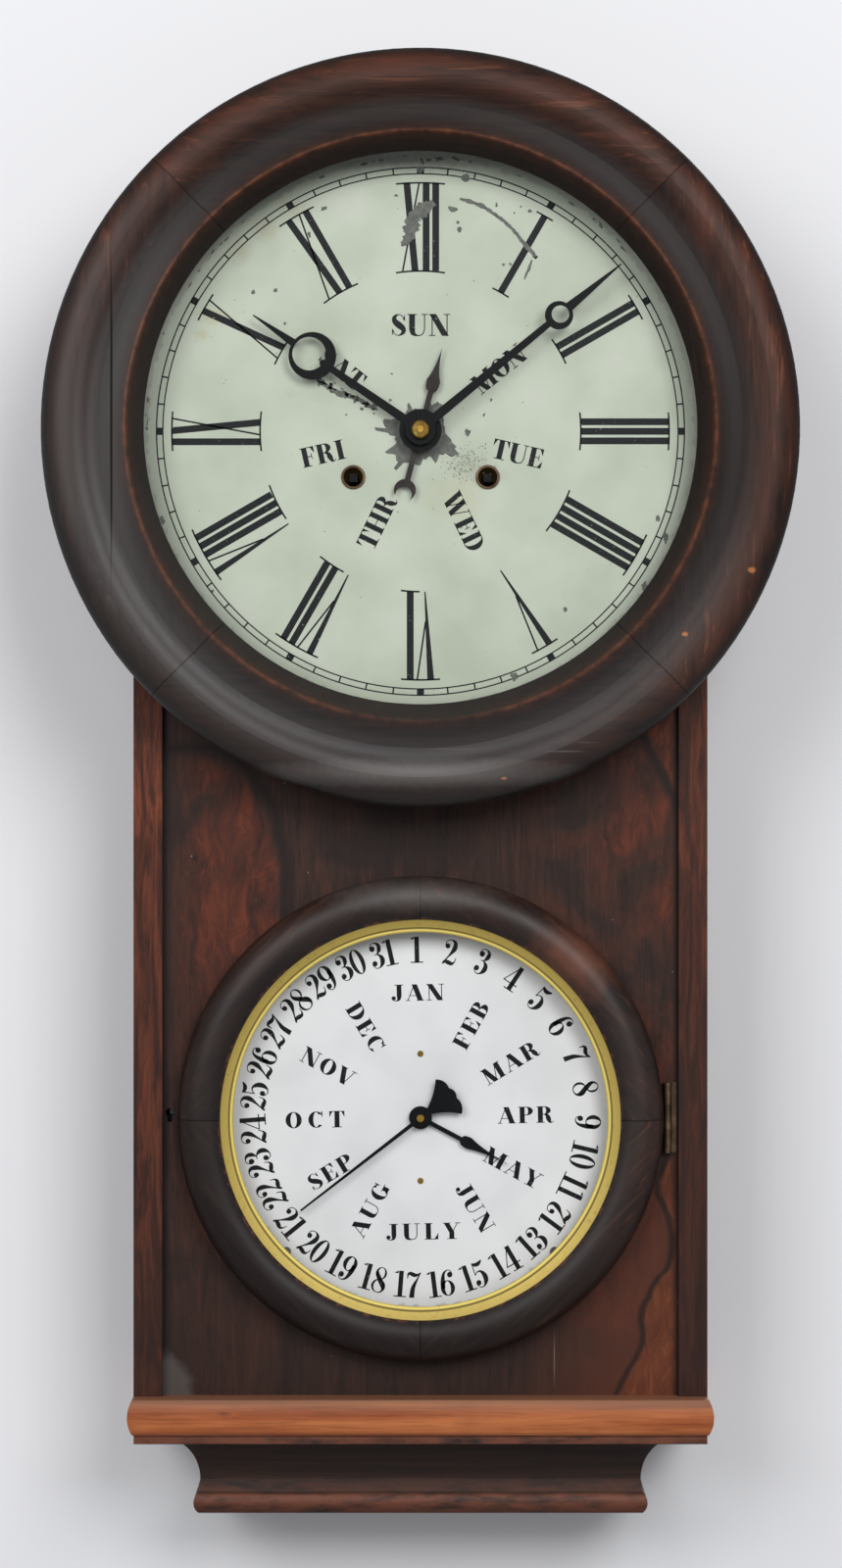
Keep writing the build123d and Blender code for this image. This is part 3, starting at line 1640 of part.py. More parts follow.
# Strike train, fly and hammer
with BuildPart() as pin_wheel:
    arbor(pin_at)
    toothed(pin_pinion, wheel_zero + great_pinion_level, pinion_face)
    toothed(pin_gear, wheel_zero + second_level, wheel_thickness, wheel_arms)
    for n in range(pin_count):
        x, z = on_circle(pin_circle, 360 * n / pin_count)
        disc(
            pin_radius,
            wheel_zero + second_level - pin_length,
            wheel_zero + second_level,
            pin_at[0] + x,
            pin_at[1] + z,
        )
keep(pin_wheel.part, "pin_wheel")

with BuildPart() as warning_wheel:
    arbor(warning_at)
    toothed(warning_pinion, beside(second_level), pinion_face)
    toothed(warning_gear, wheel_zero + warning_level, wheel_thickness, wheel_arms)
keep(warning_wheel.part, "warning_wheel")

with BuildPart() as fly:
    arbor(fly_at)
    toothed(fly_pinion, beside(warning_level), pinion_face)
    slab(
        fly_at[0] - fly_radius,
        fly_at[0] + fly_radius,
        fly_at[1] - fly_thickness / 2,
        fly_at[1] + fly_thickness / 2,
        wheel_zero + fly_level,
        wheel_zero + fly_level + fly_length,
    )
keep(fly.part, "fly")

tail_reach = dist(hammer_at, pin_at) - pin_circle - pin_radius - 2 * near_gap
tail_turn = degrees(atan2(hammer_at[1] - pin_at[1], pin_at[0] - hammer_at[0]))
gong_right = gong_x + spiral_end(gong_inner_radius, gong_pitch, gong_half_turns) + gong_wire_radius
hammer_face = gong_right + hammer_rest_gap
wire_top = Vector(hammer_x, -crutch_depth, hand_height + hammer_rise)
wire_foot = Vector(hammer_face + hammer_head_length / 2, -gong_depth, hand_height - gong_drop)
with BuildPart() as hammer:
    arbor(hammer_at, crutch_depth - hammer_wire_radius)
    with BuildSketch(
        room_plane(wheel_zero + second_level - pin_length + arbor_overhang, *hammer_at, tail_turn)
    ) as tail:
        with Locations((tail_reach / 2, 0)):
            Rectangle(tail_reach, hammer_tail_width)
        Circle(hammer_tail_width)
    extrude(tail.sketch, amount=tail_thickness)
    with BuildSketch(Plane(origin=wire_top, z_dir=wire_foot - wire_top)) as wire:
        Circle(hammer_wire_radius)
    extrude(wire.sketch, amount=(wire_foot - wire_top).length)
    with BuildSketch(
        Plane(origin=(hammer_face, -gong_depth, hand_height - gong_drop), z_dir=(1, 0, 0))
    ) as head:
        Circle(hammer_head_radius)
    extrude(head.sketch, amount=hammer_head_length)
keep(hammer.part, "hammer")

# Hand works: the wheels between the minute arbor, the hour pipe and the weekday pipe
with BuildPart() as minute_wheel:
    toothed(minute_gear, minute_depth, wheel_thickness)
    toothed(hour_driver, minute_depth + wheel_thickness, pinion_face)
    cut_disc(stud_radius + running_fit, minute_depth, hour_driver_end, *minute_at)
keep(minute_wheel.part, "minute_wheel")

with BuildPart() as hour_wheel:
    disc(hour_pipe_radius, front_plate_front + hour_level, hour_hand_depth + hand_thickness)
    toothed(hour_gear, front_plate_front + hour_level, wheel_thickness)
    toothed(day_driver, front_plate_front + hour_level + wheel_thickness, pinion_face)
    cut_disc(centre_arbor_radius + running_fit, front_plate_front, minute_hand_depth)
keep(hour_wheel.part, "hour_wheel")

with BuildPart() as day_wheel:
    toothed(day_gear, day_depth, wheel_thickness)
    toothed(weekday_driver, day_depth + wheel_thickness, weekday_driver_end - day_depth - wheel_thickness)
    peg_x, peg_z = on_circle(trip_circle, trip_peg_turn)
    disc(
        trip_peg_radius,
        day_depth + wheel_thickness,
        day_depth + wheel_thickness + trip_peg_length,
        day_at[0] + peg_x,
        day_at[1] + peg_z,
    )
    cut_disc(stud_radius + running_fit, day_depth, weekday_driver_end, *day_at)
keep(day_wheel.part, "day_wheel")

with BuildPart() as weekday_wheel:
    disc(weekday_pipe_radius, weekday_depth, weekday_hand_depth + hand_thickness)
    toothed(weekday_gear, weekday_depth, wheel_thickness, wheel_arms)
    cut_disc(hour_pipe_radius + running_fit, weekday_depth, hour_hand_depth)
keep(weekday_wheel.part, "weekday_wheel")


def moon_hand(depth, clockwise, length, hub, bore, moon_reach, moon_radius, hole, shift):
    """Pierced hand: a tapering shaft, a pierced moon and a long point."""
    with BuildSketch(room_plane(depth, 0, 0, clockwise)) as outline:
        Circle(hub)
        with BuildLine():
            Polyline(
                (-shaft_root_width / 2, 0),
                (-shaft_neck_width / 2, moon_reach),
                (-spear_width / 2, moon_reach),
                (-hand_point_width / 2, length),
                (hand_point_width / 2, length),
                (spear_width / 2, moon_reach),
                (shaft_neck_width / 2, moon_reach),
                (shaft_root_width / 2, 0),
                close=True,
            )
        make_face()
        with Locations((0, moon_reach)):
            Circle(moon_radius)
        with Locations((0, moon_reach + shift)):
            Circle(hole, mode=Mode.SUBTRACT)
        Circle(bore + seat_fit, mode=Mode.SUBTRACT)
    extrude(outline.sketch, amount=hand_thickness)


def leaf(root, widest, width, length, stem):
    """Outline of a stem that opens into a round leaf and runs to a long point."""
    with BuildLine() as edge:
        Line((stem / 2, 0), (-stem / 2, 0))
        for side in (-1, 1):
            Line((side * stem / 2, 0), (side * stem / 2, root))
            Bezier((side * stem / 2, root), (side * width / 2, root), (side * width / 2, widest))
            Bezier(
                (side * width / 2, widest),
                (side * leaf_hollow_share * width, widest + leaf_shoulder_share * (length - widest)),
                (0, length),
            )
    make_face(edge.edges())


# Hands of the time dial
with BuildPart() as minute_hand:
    moon_hand(
        minute_hand_depth,
        minute_hand_turn,
        minute_hand_length,
        minute_hub_radius,
        centre_arbor_radius,
        minute_moon_reach,
        minute_moon_radius,
        minute_moon_hole,
        minute_moon_shift,
    )
keep(minute_hand.part, "minute_hand")

with BuildPart() as hour_hand:
    moon_hand(
        hour_hand_depth,
        hour_hand_turn,
        hour_hand_length,
        hour_hub_radius,
        hour_pipe_radius,
        hour_moon_reach,
        hour_moon_radius,
        hour_moon_hole,
        hour_moon_shift,
    )
    drop_reach = hour_moon_reach + hour_moon_shift - hour_moon_hole
    drop_x, drop_z = on_circle(drop_reach, hour_hand_turn)
    disc(hour_moon_drop, hour_hand_depth, hour_hand_depth + hand_thickness, drop_x, drop_z)
keep(hour_hand.part, "hour_hand")

with BuildPart() as weekday_hand:
    with BuildSketch(room_plane(weekday_hand_depth, 0, 0, weekday_hand_turn)) as weekday_outline:
        leaf(
            weekday_leaf_root,
            weekday_leaf_reach,
            weekday_leaf_width,
            weekday_hand_length,
            weekday_tail_width,
        )
        with Locations((0, -weekday_tail_length / 2)):
            Rectangle(weekday_tail_width, weekday_tail_length)
        with Locations((0, -weekday_tail_length)):
            Circle(weekday_crescent_radius)
        with Locations((0, -weekday_tail_length - weekday_crescent_shift)):
            Circle(weekday_crescent_hole, mode=Mode.SUBTRACT)
        Circle(weekday_hub_radius)
        Circle(weekday_pipe_radius + seat_fit, mode=Mode.SUBTRACT)
    extrude(weekday_outline.sketch, amount=hand_thickness)
keep(weekday_hand.part, "weekday_hand")

with BuildPart() as hand_nut:
    disc(nut_radius, nut_depth, nut_depth + nut_height)
    chamfer(hand_nut.edges().filter_by(GeomType.CIRCLE).sort_by(Axis.Y)[0], length=nut_bevel)
    cut_disc(centre_arbor_radius + seat_fit, nut_depth, nut_depth + nut_height)
keep(hand_nut.part, "hand_nut")

# Calendar work: the date wheel and its arbor, the idler, the month wheel and their hands
month_hand_depth = calendar_dial_front + calendar_hand_gap
date_hand_depth = month_hand_depth + hand_thickness + calendar_hand_gap
month_pipe_radius = date_arbor_radius + running_fit + pipe_wall
with BuildPart() as date_wheel:
    disc(
        date_arbor_radius,
        date_wheel_depth - arbor_overhang,
        date_hand_depth + hand_thickness + calendar_arbor_end,
        *calendar_at,
    )
    sawtooth(
        date_wheel_radius,
        date_wheel_tooth,
        date_teeth,
        date_wheel_depth,
        wheel_thickness,
        *calendar_at,
        wheel_arms,
    )
    toothed(date_pinion, calendar_plate_front + date_pinion_level, pinion_face)
keep(date_wheel.part, "date_wheel")

with BuildPart() as calendar_idler:
    toothed(idler_gear, idler_depth, wheel_thickness)
    toothed(month_driver, idler_depth + wheel_thickness, idler_pinion_end - idler_depth - wheel_thickness)
    cut_disc(stud_radius + running_fit, idler_depth, idler_pinion_end, *idler_at)
keep(calendar_idler.part, "calendar_idler")

with BuildPart() as month_wheel:
    disc(month_pipe_radius, month_depth, month_hand_depth + hand_thickness, *calendar_at)
    toothed(month_gear, month_depth, wheel_thickness)
    cut_disc(date_arbor_radius + running_fit, month_depth, date_hand_depth, *calendar_at)
keep(month_wheel.part, "month_wheel")

with BuildPart() as month_hand:
    with BuildSketch(room_plane(month_hand_depth, *calendar_at, month_hand_turn)) as month_outline:
        leaf(month_leaf_root, month_leaf_reach, month_leaf_width, month_hand_length, month_hand_width)
        Circle(month_hub_radius)
        Circle(month_pipe_radius + seat_fit, mode=Mode.SUBTRACT)
    extrude(month_outline.sketch, amount=hand_thickness)
keep(month_hand.part, "month_hand")

with BuildPart() as date_hand:
    with BuildSketch(room_plane(date_hand_depth, *calendar_at, date_hand_turn)) as date_outline:
        with BuildLine():
            Polyline(
                (-date_hand_width / 2, 0),
                (-date_point_width / 2, date_hand_length),
                (date_point_width / 2, date_hand_length),
                (date_hand_width / 2, 0),
                close=True,
            )
        make_face()
        fan = [on_circle(date_fan_reach, 180 + turn) for turn in date_fan_turns]
        with BuildLine():
            for side, corner in ((1, fan[0]), (-1, fan[-1])):
                Bezier((0, 0), (side * date_hub_radius / 2, -date_fan_reach / 2), corner)
            for n in range(3):
                middle = 180 + (date_fan_turns[n] + date_fan_turns[n + 1]) / 2
                ThreePointArc(fan[n], on_circle(date_fan_reach + date_fan_bulge, middle), fan[n + 1])
        make_face()
        Circle(date_hub_radius)
        Circle(date_arbor_radius + seat_fit, mode=Mode.SUBTRACT)
    extrude(date_outline.sketch, amount=hand_thickness)
keep(date_hand.part, "date_hand")

# Trip lever of the hand works and the rod that carries its lift down to the calendar
trip_tilt = degrees(asin(rod_travel / (2 * trip_arm)))
eye_rear = trip_depth - near_gap - trip_eye_thickness
with BuildPart() as trip_lever:
    with BuildSketch(room_plane(trip_depth, trip_x, trip_rise, -trip_tilt)) as lever:
        Circle(trip_hub_radius)
        with Locations((-(trip_arm + trip_nose) / 2, 0)):
            Rectangle(trip_arm + trip_nose, trip_arm_width)
        Circle(stud_radius + running_fit, mode=Mode.SUBTRACT)
    extrude(lever.sketch, amount=trip_arm_thickness)
    disc(trip_pin_radius, eye_rear - near_gap, trip_depth, rod_x, trip_rise - rod_travel / 2)
keep(trip_lever.part, "trip_lever")

eye_radius = trip_pin_radius + trip_eye_play
eye_z = trip_rise - rod_travel / 2
rod_high_depth = eye_rear + trip_eye_thickness / 2
rod_foot_low = -calendar_drop - rod_travel / 2 - rod_foot_width / 2
rod_corners = [
    (rod_x, -rod_high_depth, hand_height + eye_z - eye_radius - trip_eye_wall / 2),
    (rod_x, -rod_high_depth, hand_height - rod_bend_start),
    (rod_x, -rod_low_depth, hand_height - rod_bend_start - rod_bend_length),
    (rod_x, -rod_low_depth, hand_height + rod_foot_low),
]
with BuildPart() as calendar_rod:
    with BuildLine() as rod_line:
        FilletPolyline(*rod_corners, radius=rod_bend_radius)
    with BuildSketch(Plane(origin=rod_line.line @ 0, z_dir=rod_line.line % 0)):
        Circle(rod_radius)
    sweep()
    disc(eye_radius + trip_eye_wall, eye_rear, eye_rear + trip_eye_thickness, rod_x, eye_z)
    cut_disc(eye_radius, eye_rear, eye_rear + trip_eye_thickness, rod_x, eye_z)
    slab(
        date_wheel_radius + rod_foot_gap,
        rod_x,
        rod_foot_low,
        rod_foot_low + rod_foot_width,
        date_wheel_depth,
        date_wheel_depth + wheel_thickness,
    )
keep(calendar_rod.part, "calendar_rod")
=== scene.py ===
import math
import random

import bmesh
import bpy
from mathutils import Matrix, Vector


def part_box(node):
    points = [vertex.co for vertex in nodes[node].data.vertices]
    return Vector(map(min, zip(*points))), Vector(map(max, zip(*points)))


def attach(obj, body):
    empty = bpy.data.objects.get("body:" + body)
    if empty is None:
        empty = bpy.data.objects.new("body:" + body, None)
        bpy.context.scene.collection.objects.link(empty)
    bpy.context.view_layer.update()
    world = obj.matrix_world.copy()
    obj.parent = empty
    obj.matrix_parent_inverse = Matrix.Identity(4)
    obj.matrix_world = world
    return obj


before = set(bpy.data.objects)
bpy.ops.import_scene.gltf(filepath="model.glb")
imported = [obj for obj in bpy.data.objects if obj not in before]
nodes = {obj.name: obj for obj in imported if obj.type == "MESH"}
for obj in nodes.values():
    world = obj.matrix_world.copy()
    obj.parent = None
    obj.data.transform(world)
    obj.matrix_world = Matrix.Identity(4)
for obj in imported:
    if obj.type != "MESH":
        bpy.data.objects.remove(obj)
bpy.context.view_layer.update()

# Double-dial calendar clock on a wall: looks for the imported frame, in metres
MM = 0.001


def middle(node):
    """Gives the x and z of the middle of a round piece, and the y of its face."""
    low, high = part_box(node)
    return (low[0] + high[0]) / 2, (low[2] + high[2]) / 2, low[1]


HAND_X, HAND_Z, TIME_FACE = middle("time_dial")
DATE_X, DATE_Z, DATE_FACE = middle("calendar_dial")


# Materials

def linear(code):
    """Turns an sRGB hex colour into linear values."""
    shares = [int(code[i:i + 2], 16) / 255 for i in (1, 3, 5)]
    return [s / 12.92 if s <= 0.04045 else ((s + 0.055) / 1.055) ** 2.4 for s in shares] + [1.0]


def plug(mat, node, sockets):
    """Sets a node's sockets, each to a number, to a hex colour, or by a link from another node."""
    for name, value in sockets.items():
        if isinstance(value, str):
            value = linear(value)
        if isinstance(value, bpy.types.Node):
            value = next(out for out in value.outputs if out.enabled)
        if isinstance(value, bpy.types.NodeSocket):
            mat.node_tree.links.new(value, node.inputs[name])
        else:
            node.inputs[name].default_value = value


def add(mat, kind, sockets, stops=(), **settings):
    """Adds one shader node with its settings, its sockets and the stops of a ramp or curve."""
    node = mat.node_tree.nodes.new("ShaderNode" + kind)
    for name, value in settings.items():
        setattr(node, name, value)
    plug(mat, node, sockets)
    for i, (where, what) in enumerate(stops):
        if isinstance(what, str):
            marks = node.color_ramp.elements
            mark = marks[i] if i < 2 else marks.new(where)
            mark.position, mark.color = where, linear(what)
        else:
            marks = node.mapping.curves[0].points
            mark = marks[i] if i < 2 else marks.new(where, what)
            mark.location = (where, what)
    return node


def new_finish(name, **sockets):
    """Starts a material. Gives it with its shader and its Object coordinates."""
    mat = bpy.data.materials.new(name)
    mat.use_nodes = True
    shader = mat.node_tree.nodes["Principled BSDF"]
    plug(mat, shader, {key.replace("_", " "): value for key, value in sockets.items()})
    return mat, shader, add(mat, "TexCoord", {}).outputs["Object"]


def coats(mat, colour, *layers):
    """Lays each tint over the colour, as thick as its masks multiplied together."""
    for mask, *others, tint in layers:
        for other in others:
            mask = add(mat, "Math", {0: mask, 1: other}, operation="MULTIPLY")
        colour = add(mat, "MixRGB", {"Fac": mask, "Color1": colour, "Color2": tint})
    return colour


def from_axis(mat, place, centre_z):
    """Measures how far a point stands from the axis of a dial."""
    moved = add(mat, "Mapping", {"Vector": place, "Location": (0, 0, centre_z)}, vector_type="TEXTURE")
    flat = add(mat, "VectorMath", {0: moved, 1: (1, 0, 1)}, operation="MULTIPLY")
    return add(mat, "VectorMath", {0: flat}, operation="LENGTH")


def beside(mat, value, at, far, near, much):
    """Masks a band to both sides of one value: full at a near distance, gone at a far one."""
    off = add(mat, "Math", {0: value, 1: at}, operation="SUBTRACT")
    off = add(mat, "Math", {0: off}, operation="ABSOLUTE")
    return add(mat, "MapRange", {"Value": off, "From Min": far, "From Max": near, "To Max": much})


def grain(mat, shader, place, size, stops, rough, twist=0.7, pores=0.4):
    """Gives wood its streaks, its pores and the varnish on them.

    The streaks have a size in millimetres along x, y and z, and colours from dark to pale.
    """
    drawn = add(mat, "Mapping", {"Vector": place, "Scale": [1 / (s * MM) for s in size]})
    streaks = add(mat, "TexNoise", {"Vector": drawn, "Scale": 1.0, "Detail": 7.0, "Roughness": 0.62,
                                    "Distortion": twist})
    fine = add(mat, "TexNoise", {"Vector": drawn, "Scale": 5.0, "Detail": 3.0, "Roughness": 0.6})
    dark = add(mat, "MapRange", {"Value": fine, "From Min": 0.5, "From Max": 0.36, "To Max": pores})
    varnish = add(mat, "MapRange", {"Value": streaks, "To Min": rough[0], "To Max": rough[1]})
    bump = add(mat, "Bump", {"Height": fine, "Strength": 0.2, "Distance": 0.08 * MM})
    plug(mat, shader, {"Roughness": varnish, "Normal": bump})
    return coats(mat, add(mat, "ValToRGB", {"Fac": streaks}, stops), (dark, "#150D0A"))


def plain_wood(name, size, stops, rough, gloss=0.5, **figure):
    """Wood with nothing over its grain and varnish."""
    mat, shader, place = new_finish(name, IOR=1.5, Specular_IOR_Level=gloss)
    plug(mat, shader, {"Base Color": grain(mat, shader, place, size, stops, rough, **figure)})
    return mat


def oval(mat, place, x, z, half, tall, soft=0.3, ragged=0.0, much=1.0):
    """Masks an oval on the front of the clock, in millimetres, with a soft or a ragged edge."""
    moved = add(mat, "Mapping", {"Vector": place, "Location": (x * MM, 0, z * MM),
                                 "Scale": (half * MM, 1000.0, tall * MM)}, vector_type="TEXTURE")
    reach = add(mat, "VectorMath", {0: moved}, operation="LENGTH")
    torn = add(mat, "TexNoise", {"Vector": place, "Scale": 2.5 / (min(half, tall) * MM), "Detail": 4.0})
    reach = add(mat, "Math", {0: torn, 1: ragged, 2: reach}, operation="MULTIPLY_ADD")
    edge = 1.0 + ragged / 2
    return add(mat, "MapRange", {"Value": reach, "From Min": edge, "From Max": edge - soft, "To Max": much})


def turned_ring(name, centre_z, turn, stops, gloss, edges, red, seams, marks):
    """Birch, turned, stained nearly black and varnished.

    Four lengths whose grain runs straight through each, rubbed red and dull where hands and
    dusters reach. The red and its pale hairs are laid mostly on the lit upper right side, so
    they are partly painted light. The gloss is given for the lower left and the upper right.
    An edge has its radius, half width, the scuffs that show it, its strength and tint. Red has
    the radii it grows between, its strength and tint. Seams and marks are ovals, and a mark
    has a tint.
    """
    mat, shader, wall_place = new_finish(name, IOR=1.5)
    place = add(mat, "Mapping", {"Vector": wall_place, "Location": (0, 0, centre_z),
                                 "Rotation": (0, turn, 0)}, vector_type="TEXTURE")
    parts = add(mat, "SeparateXYZ", {0: place})
    wide = add(mat, "Math", {0: parts.outputs["X"]}, operation="ABSOLUTE")
    tall = add(mat, "Math", {0: parts.outputs["Z"]}, operation="ABSOLUTE")
    apart = add(mat, "Math", {0: parts.outputs["Y"], 1: 0.37}, operation="ADD")
    stood = add(mat, "CombineXYZ", {0: parts.outputs["Z"], 1: apart, 2: parts.outputs["X"]})
    lying = add(mat, "Math", {0: tall, 1: wide}, operation="GREATER_THAN")
    length = add(mat, "MixRGB", {"Fac": lying, "Color1": stood, "Color2": place})
    colour = grain(mat, shader, length, (90, 3, 3), stops, rough=(0.40, 0.52))
    radius = from_axis(mat, wall_place, centre_z)
    drawn = add(mat, "Mapping", {"Vector": length, "Scale": (9, 50, 70)})
    rubbed = add(mat, "TexNoise", {"Vector": drawn, "Scale": 1.0, "Detail": 7.0, "Roughness": 0.7,
                                   "Distortion": 0.5})
    red_from, red_to, red_much, red_tint = red
    wear_and_light = add(mat, "MapRange", {"Value": rubbed, "From Min": 0.32, "From Max": 0.72, "To Max": red_much})
    toward = (0.5, 0, 0.8)
    level = toward[2] * centre_z
    lit_side = add(mat, "VectorMath", {0: wall_place, 1: toward}, operation="DOT_PRODUCT")
    lit_side = add(mat, "MapRange", {"Value": lit_side, "From Min": level - 0.12, "From Max": level + 0.06,
                                     "To Min": 0.12})
    roll = add(mat, "MapRange", {"Value": radius, "From Min": red_from * MM, "From Max": red_to * MM})
    hairs = add(mat, "Mapping", {"Vector": length, "Scale": (16, 240, 300)})
    hairs = add(mat, "TexNoise", {"Vector": hairs, "Scale": 1.0, "Detail": 4.0, "Roughness": 0.6,
                                  "Distortion": 0.6})
    hairs = add(mat, "MapRange", {"Value": hairs, "From Min": 0.56, "From Max": 0.72})
    # Painted light: the red and the pale hairs show only toward the lit upper right side
    wear_and_light = (wear_and_light, lit_side, roll)
    colour = coats(mat, colour, (*wear_and_light, red_tint), (hairs, *wear_and_light, "#8A5236"))
    scuff = add(mat, "TexNoise", {"Vector": length, "Scale": 1 / (6 * MM), "Detail": 5.0, "Roughness": 0.7})
    for at, half, low, high, much, tint in edges:
        band = beside(mat, radius, at * MM, half * MM, half * 0.2 * MM, much)
        patchy = add(mat, "MapRange", {"Value": scuff, "From Min": low, "From Max": high})
        colour = coats(mat, colour, (band, patchy, tint))
    joint = beside(mat, wide, tall, 0.8 * MM, 0.3 * MM, 0.5)
    for sizes in seams:
        joint = add(mat, "Math", {0: joint, 1: oval(mat, wall_place, *sizes)}, operation="MAXIMUM")
    dusty = add(mat, "MapRange", {"Value": lit_side, "To Min": gloss[0], "To Max": gloss[1]})
    gleam = add(mat, "MapRange", {"Value": joint, "From Min": 1.0, "From Max": 0.0})
    gleam = add(mat, "Math", {0: gleam, 1: dusty}, operation="MULTIPLY")
    plug(mat, shader, {"Specular IOR Level": gleam})
    colour = coats(mat, colour, (joint, "#0C0807"))
    for tint, *sizes in marks:
        colour = coats(mat, colour, (oval(mat, wall_place, *sizes), tint))
    plug(mat, shader, {"Base Color": colour})
    return mat


def tarnished(name, stops, rough, blot=9.0, metallic=1.0, gloss=0.5):
    """Metal, filed and finished: clouds of tarnish with blots of a size in millimetres, and scratches."""
    mat, shader, place = new_finish(name, Metallic=metallic, Specular_IOR_Level=gloss)
    cloud = add(mat, "TexNoise", {"Vector": place, "Scale": 1 / (blot * MM), "Detail": 6.0, "Roughness": 0.6})
    dull = add(mat, "MapRange", {"Value": cloud, "To Min": rough[0], "To Max": rough[1]})
    drawn = add(mat, "Mapping", {"Vector": place, "Scale": (2000, 2000, 160)})
    scratch = add(mat, "TexNoise", {"Vector": drawn, "Scale": 1.0, "Detail": 2.0})
    bump = add(mat, "Bump", {"Height": scratch, "Strength": 0.12, "Distance": 0.05 * MM})
    plug(mat, shader, {"Base Color": add(mat, "ValToRGB", {"Fac": cloud}, stops), "Roughness": dull,
                       "Normal": bump})
    return mat


# Rosewood veneer, knife cut and varnished: dark clouds, short flames, a red heart, a sapwood edge
veneer, shader, place = new_finish("rosewood veneer, knife cut and varnished", IOR=1.5,
                                   Specular_IOR_Level=0.22)
colour = grain(veneer, shader, place, (5, 5, 70), ((0.3, "#20130E"), (0.5, "#332019"), (0.7, "#46281C")),
               rough=(0.46, 0.6), twist=0.9, pores=0.5)
cloud = add(veneer, "TexNoise", {"Vector": place, "Scale": 1 / (48 * MM), "Detail": 4.0, "Distortion": 0.8})
ends = add(veneer, "SeparateXYZ", {0: place})
x, z = ends.outputs["X"], ends.outputs["Z"]
# Flames: short upright licks of red and black
licks = add(veneer, "Mapping", {"Vector": place, "Scale": (110, 110, 36)})
flame = add(veneer, "TexNoise", {"Vector": licks, "Scale": 1.0, "Detail": 8.0, "Roughness": 0.7,
                                 "Distortion": 0.9})
red = add(veneer, "ValToRGB", {"Fac": flame}, ((0.33, "#24110B"), (0.5, "#4F2415"), (0.66, "#70321B")))
# The heart at the left, open downwards, inside a soft dark ring of growth
moved = add(veneer, "Mapping", {"Vector": place, "Location": (-0.128, 0, -0.384),
                                "Scale": (0.054, 1000.0, 0.074)}, vector_type="TEXTURE")
moved = add(veneer, "VectorMath", {0: moved, 1: (-9, -9, 0)}, operation="MAXIMUM")
inside = add(veneer, "VectorMath", {0: moved}, operation="LENGTH")
inside = add(veneer, "Math", {0: cloud, 1: 0.25, 2: inside}, operation="MULTIPLY_ADD")
heart = add(veneer, "MapRange", {"Value": inside, "From Min": 1.11, "From Max": 1.0, "To Max": 0.8})
low = add(veneer, "MapRange", {"Value": z, "From Min": -0.60, "From Max": -0.42, "To Min": 0.25})
shy = add(veneer, "MapRange", {"Value": x, "From Min": -0.137, "From Max": -0.118})
ring = beside(veneer, inside, 1.16, 0.1, 0.0, 0.95)
# The wedge at the upper right, past a slanting dark line
slant = add(veneer, "VectorMath", {0: place, 1: (0.885, 0, 0.465)}, operation="DOT_PRODUCT")
slant = add(veneer, "Math", {0: cloud, 1: 0.004, 2: slant}, operation="MULTIPLY_ADD")
wedge_red = add(veneer, "MapRange", {"Value": slant, "From Min": -0.032, "From Max": -0.030, "To Max": 0.95})
edge = beside(veneer, slant, -0.033, 0.0045, 0.0005, 0.85)
# Red flames at the right of the calendar, between dark clouds
right = add(veneer, "MapRange", {"Value": x, "From Min": 0.045, "From Max": 0.105})
lick = add(veneer, "MapRange", {"Value": cloud, "From Min": 0.42, "From Max": 0.6, "To Max": 0.65})
dark = add(veneer, "MapRange", {"Value": cloud, "From Min": 0.47, "From Max": 0.33, "To Max": 0.75})
# Painted shade: the panel darkens toward its foot, where the light falls off
foot_shade = add(veneer, "MapRange", {"Value": z, "From Min": -0.55, "From Max": -0.645, "To Max": 0.5})
colour = coats(veneer, colour, (right, lick, red), (heart, low, shy, red), (ring, "#1B100D"),
               (dark, "#1E1411"), (wedge_red, red), (edge, "#1B100D"), (foot_shade, "#241812"))
# Sapwood at the lower right, past a wavy dark line whose place is given by height
height = add(veneer, "MapRange", {"Value": z, "From Min": -0.662, "From Max": -0.522})
SAP_LINE = ((0.0, 0.09), (1.0, 1.0), (0.084, 0.234), (0.154, 0.384), (0.224, 0.468), (0.306, 0.447),
            (0.386, 0.555), (0.456, 0.684), (0.503, 0.834), (0.584, 0.876), (0.666, 0.855), (0.736, 0.768),
            (0.806, 0.671), (0.876, 0.747), (0.957, 0.913))
border = add(veneer, "FloatCurve", {"Value": height}, SAP_LINE)
border = add(veneer, "MapRange", {"Value": border, "To Min": 0.103, "To Max": 0.141})
past = add(veneer, "Math", {0: x, 1: border}, operation="SUBTRACT")
past = add(veneer, "Math", {0: flame, 1: 0.003, 2: past}, operation="MULTIPLY_ADD")
sap = add(veneer, "ValToRGB", {"Fac": flame}, ((0.3, "#431F12"), (0.52, "#5F301B"), (0.7, "#784125")))
sapwood = add(veneer, "MapRange", {"Value": past, "From Min": 0.0005, "From Max": 0.0025})
brown = add(veneer, "MapRange", {"Value": past, "From Min": -0.06, "From Max": -0.01, "To Max": 0.6})
brown_low = add(veneer, "MapRange", {"Value": z, "From Min": -0.53, "From Max": -0.58})
line = beside(veneer, past, 0.0015, 0.0028, 0.0006, 0.85)
colour = coats(veneer, colour, (brown, brown_low, "#552B1C"), (sapwood, sap), (line, "#1A0F0B"))
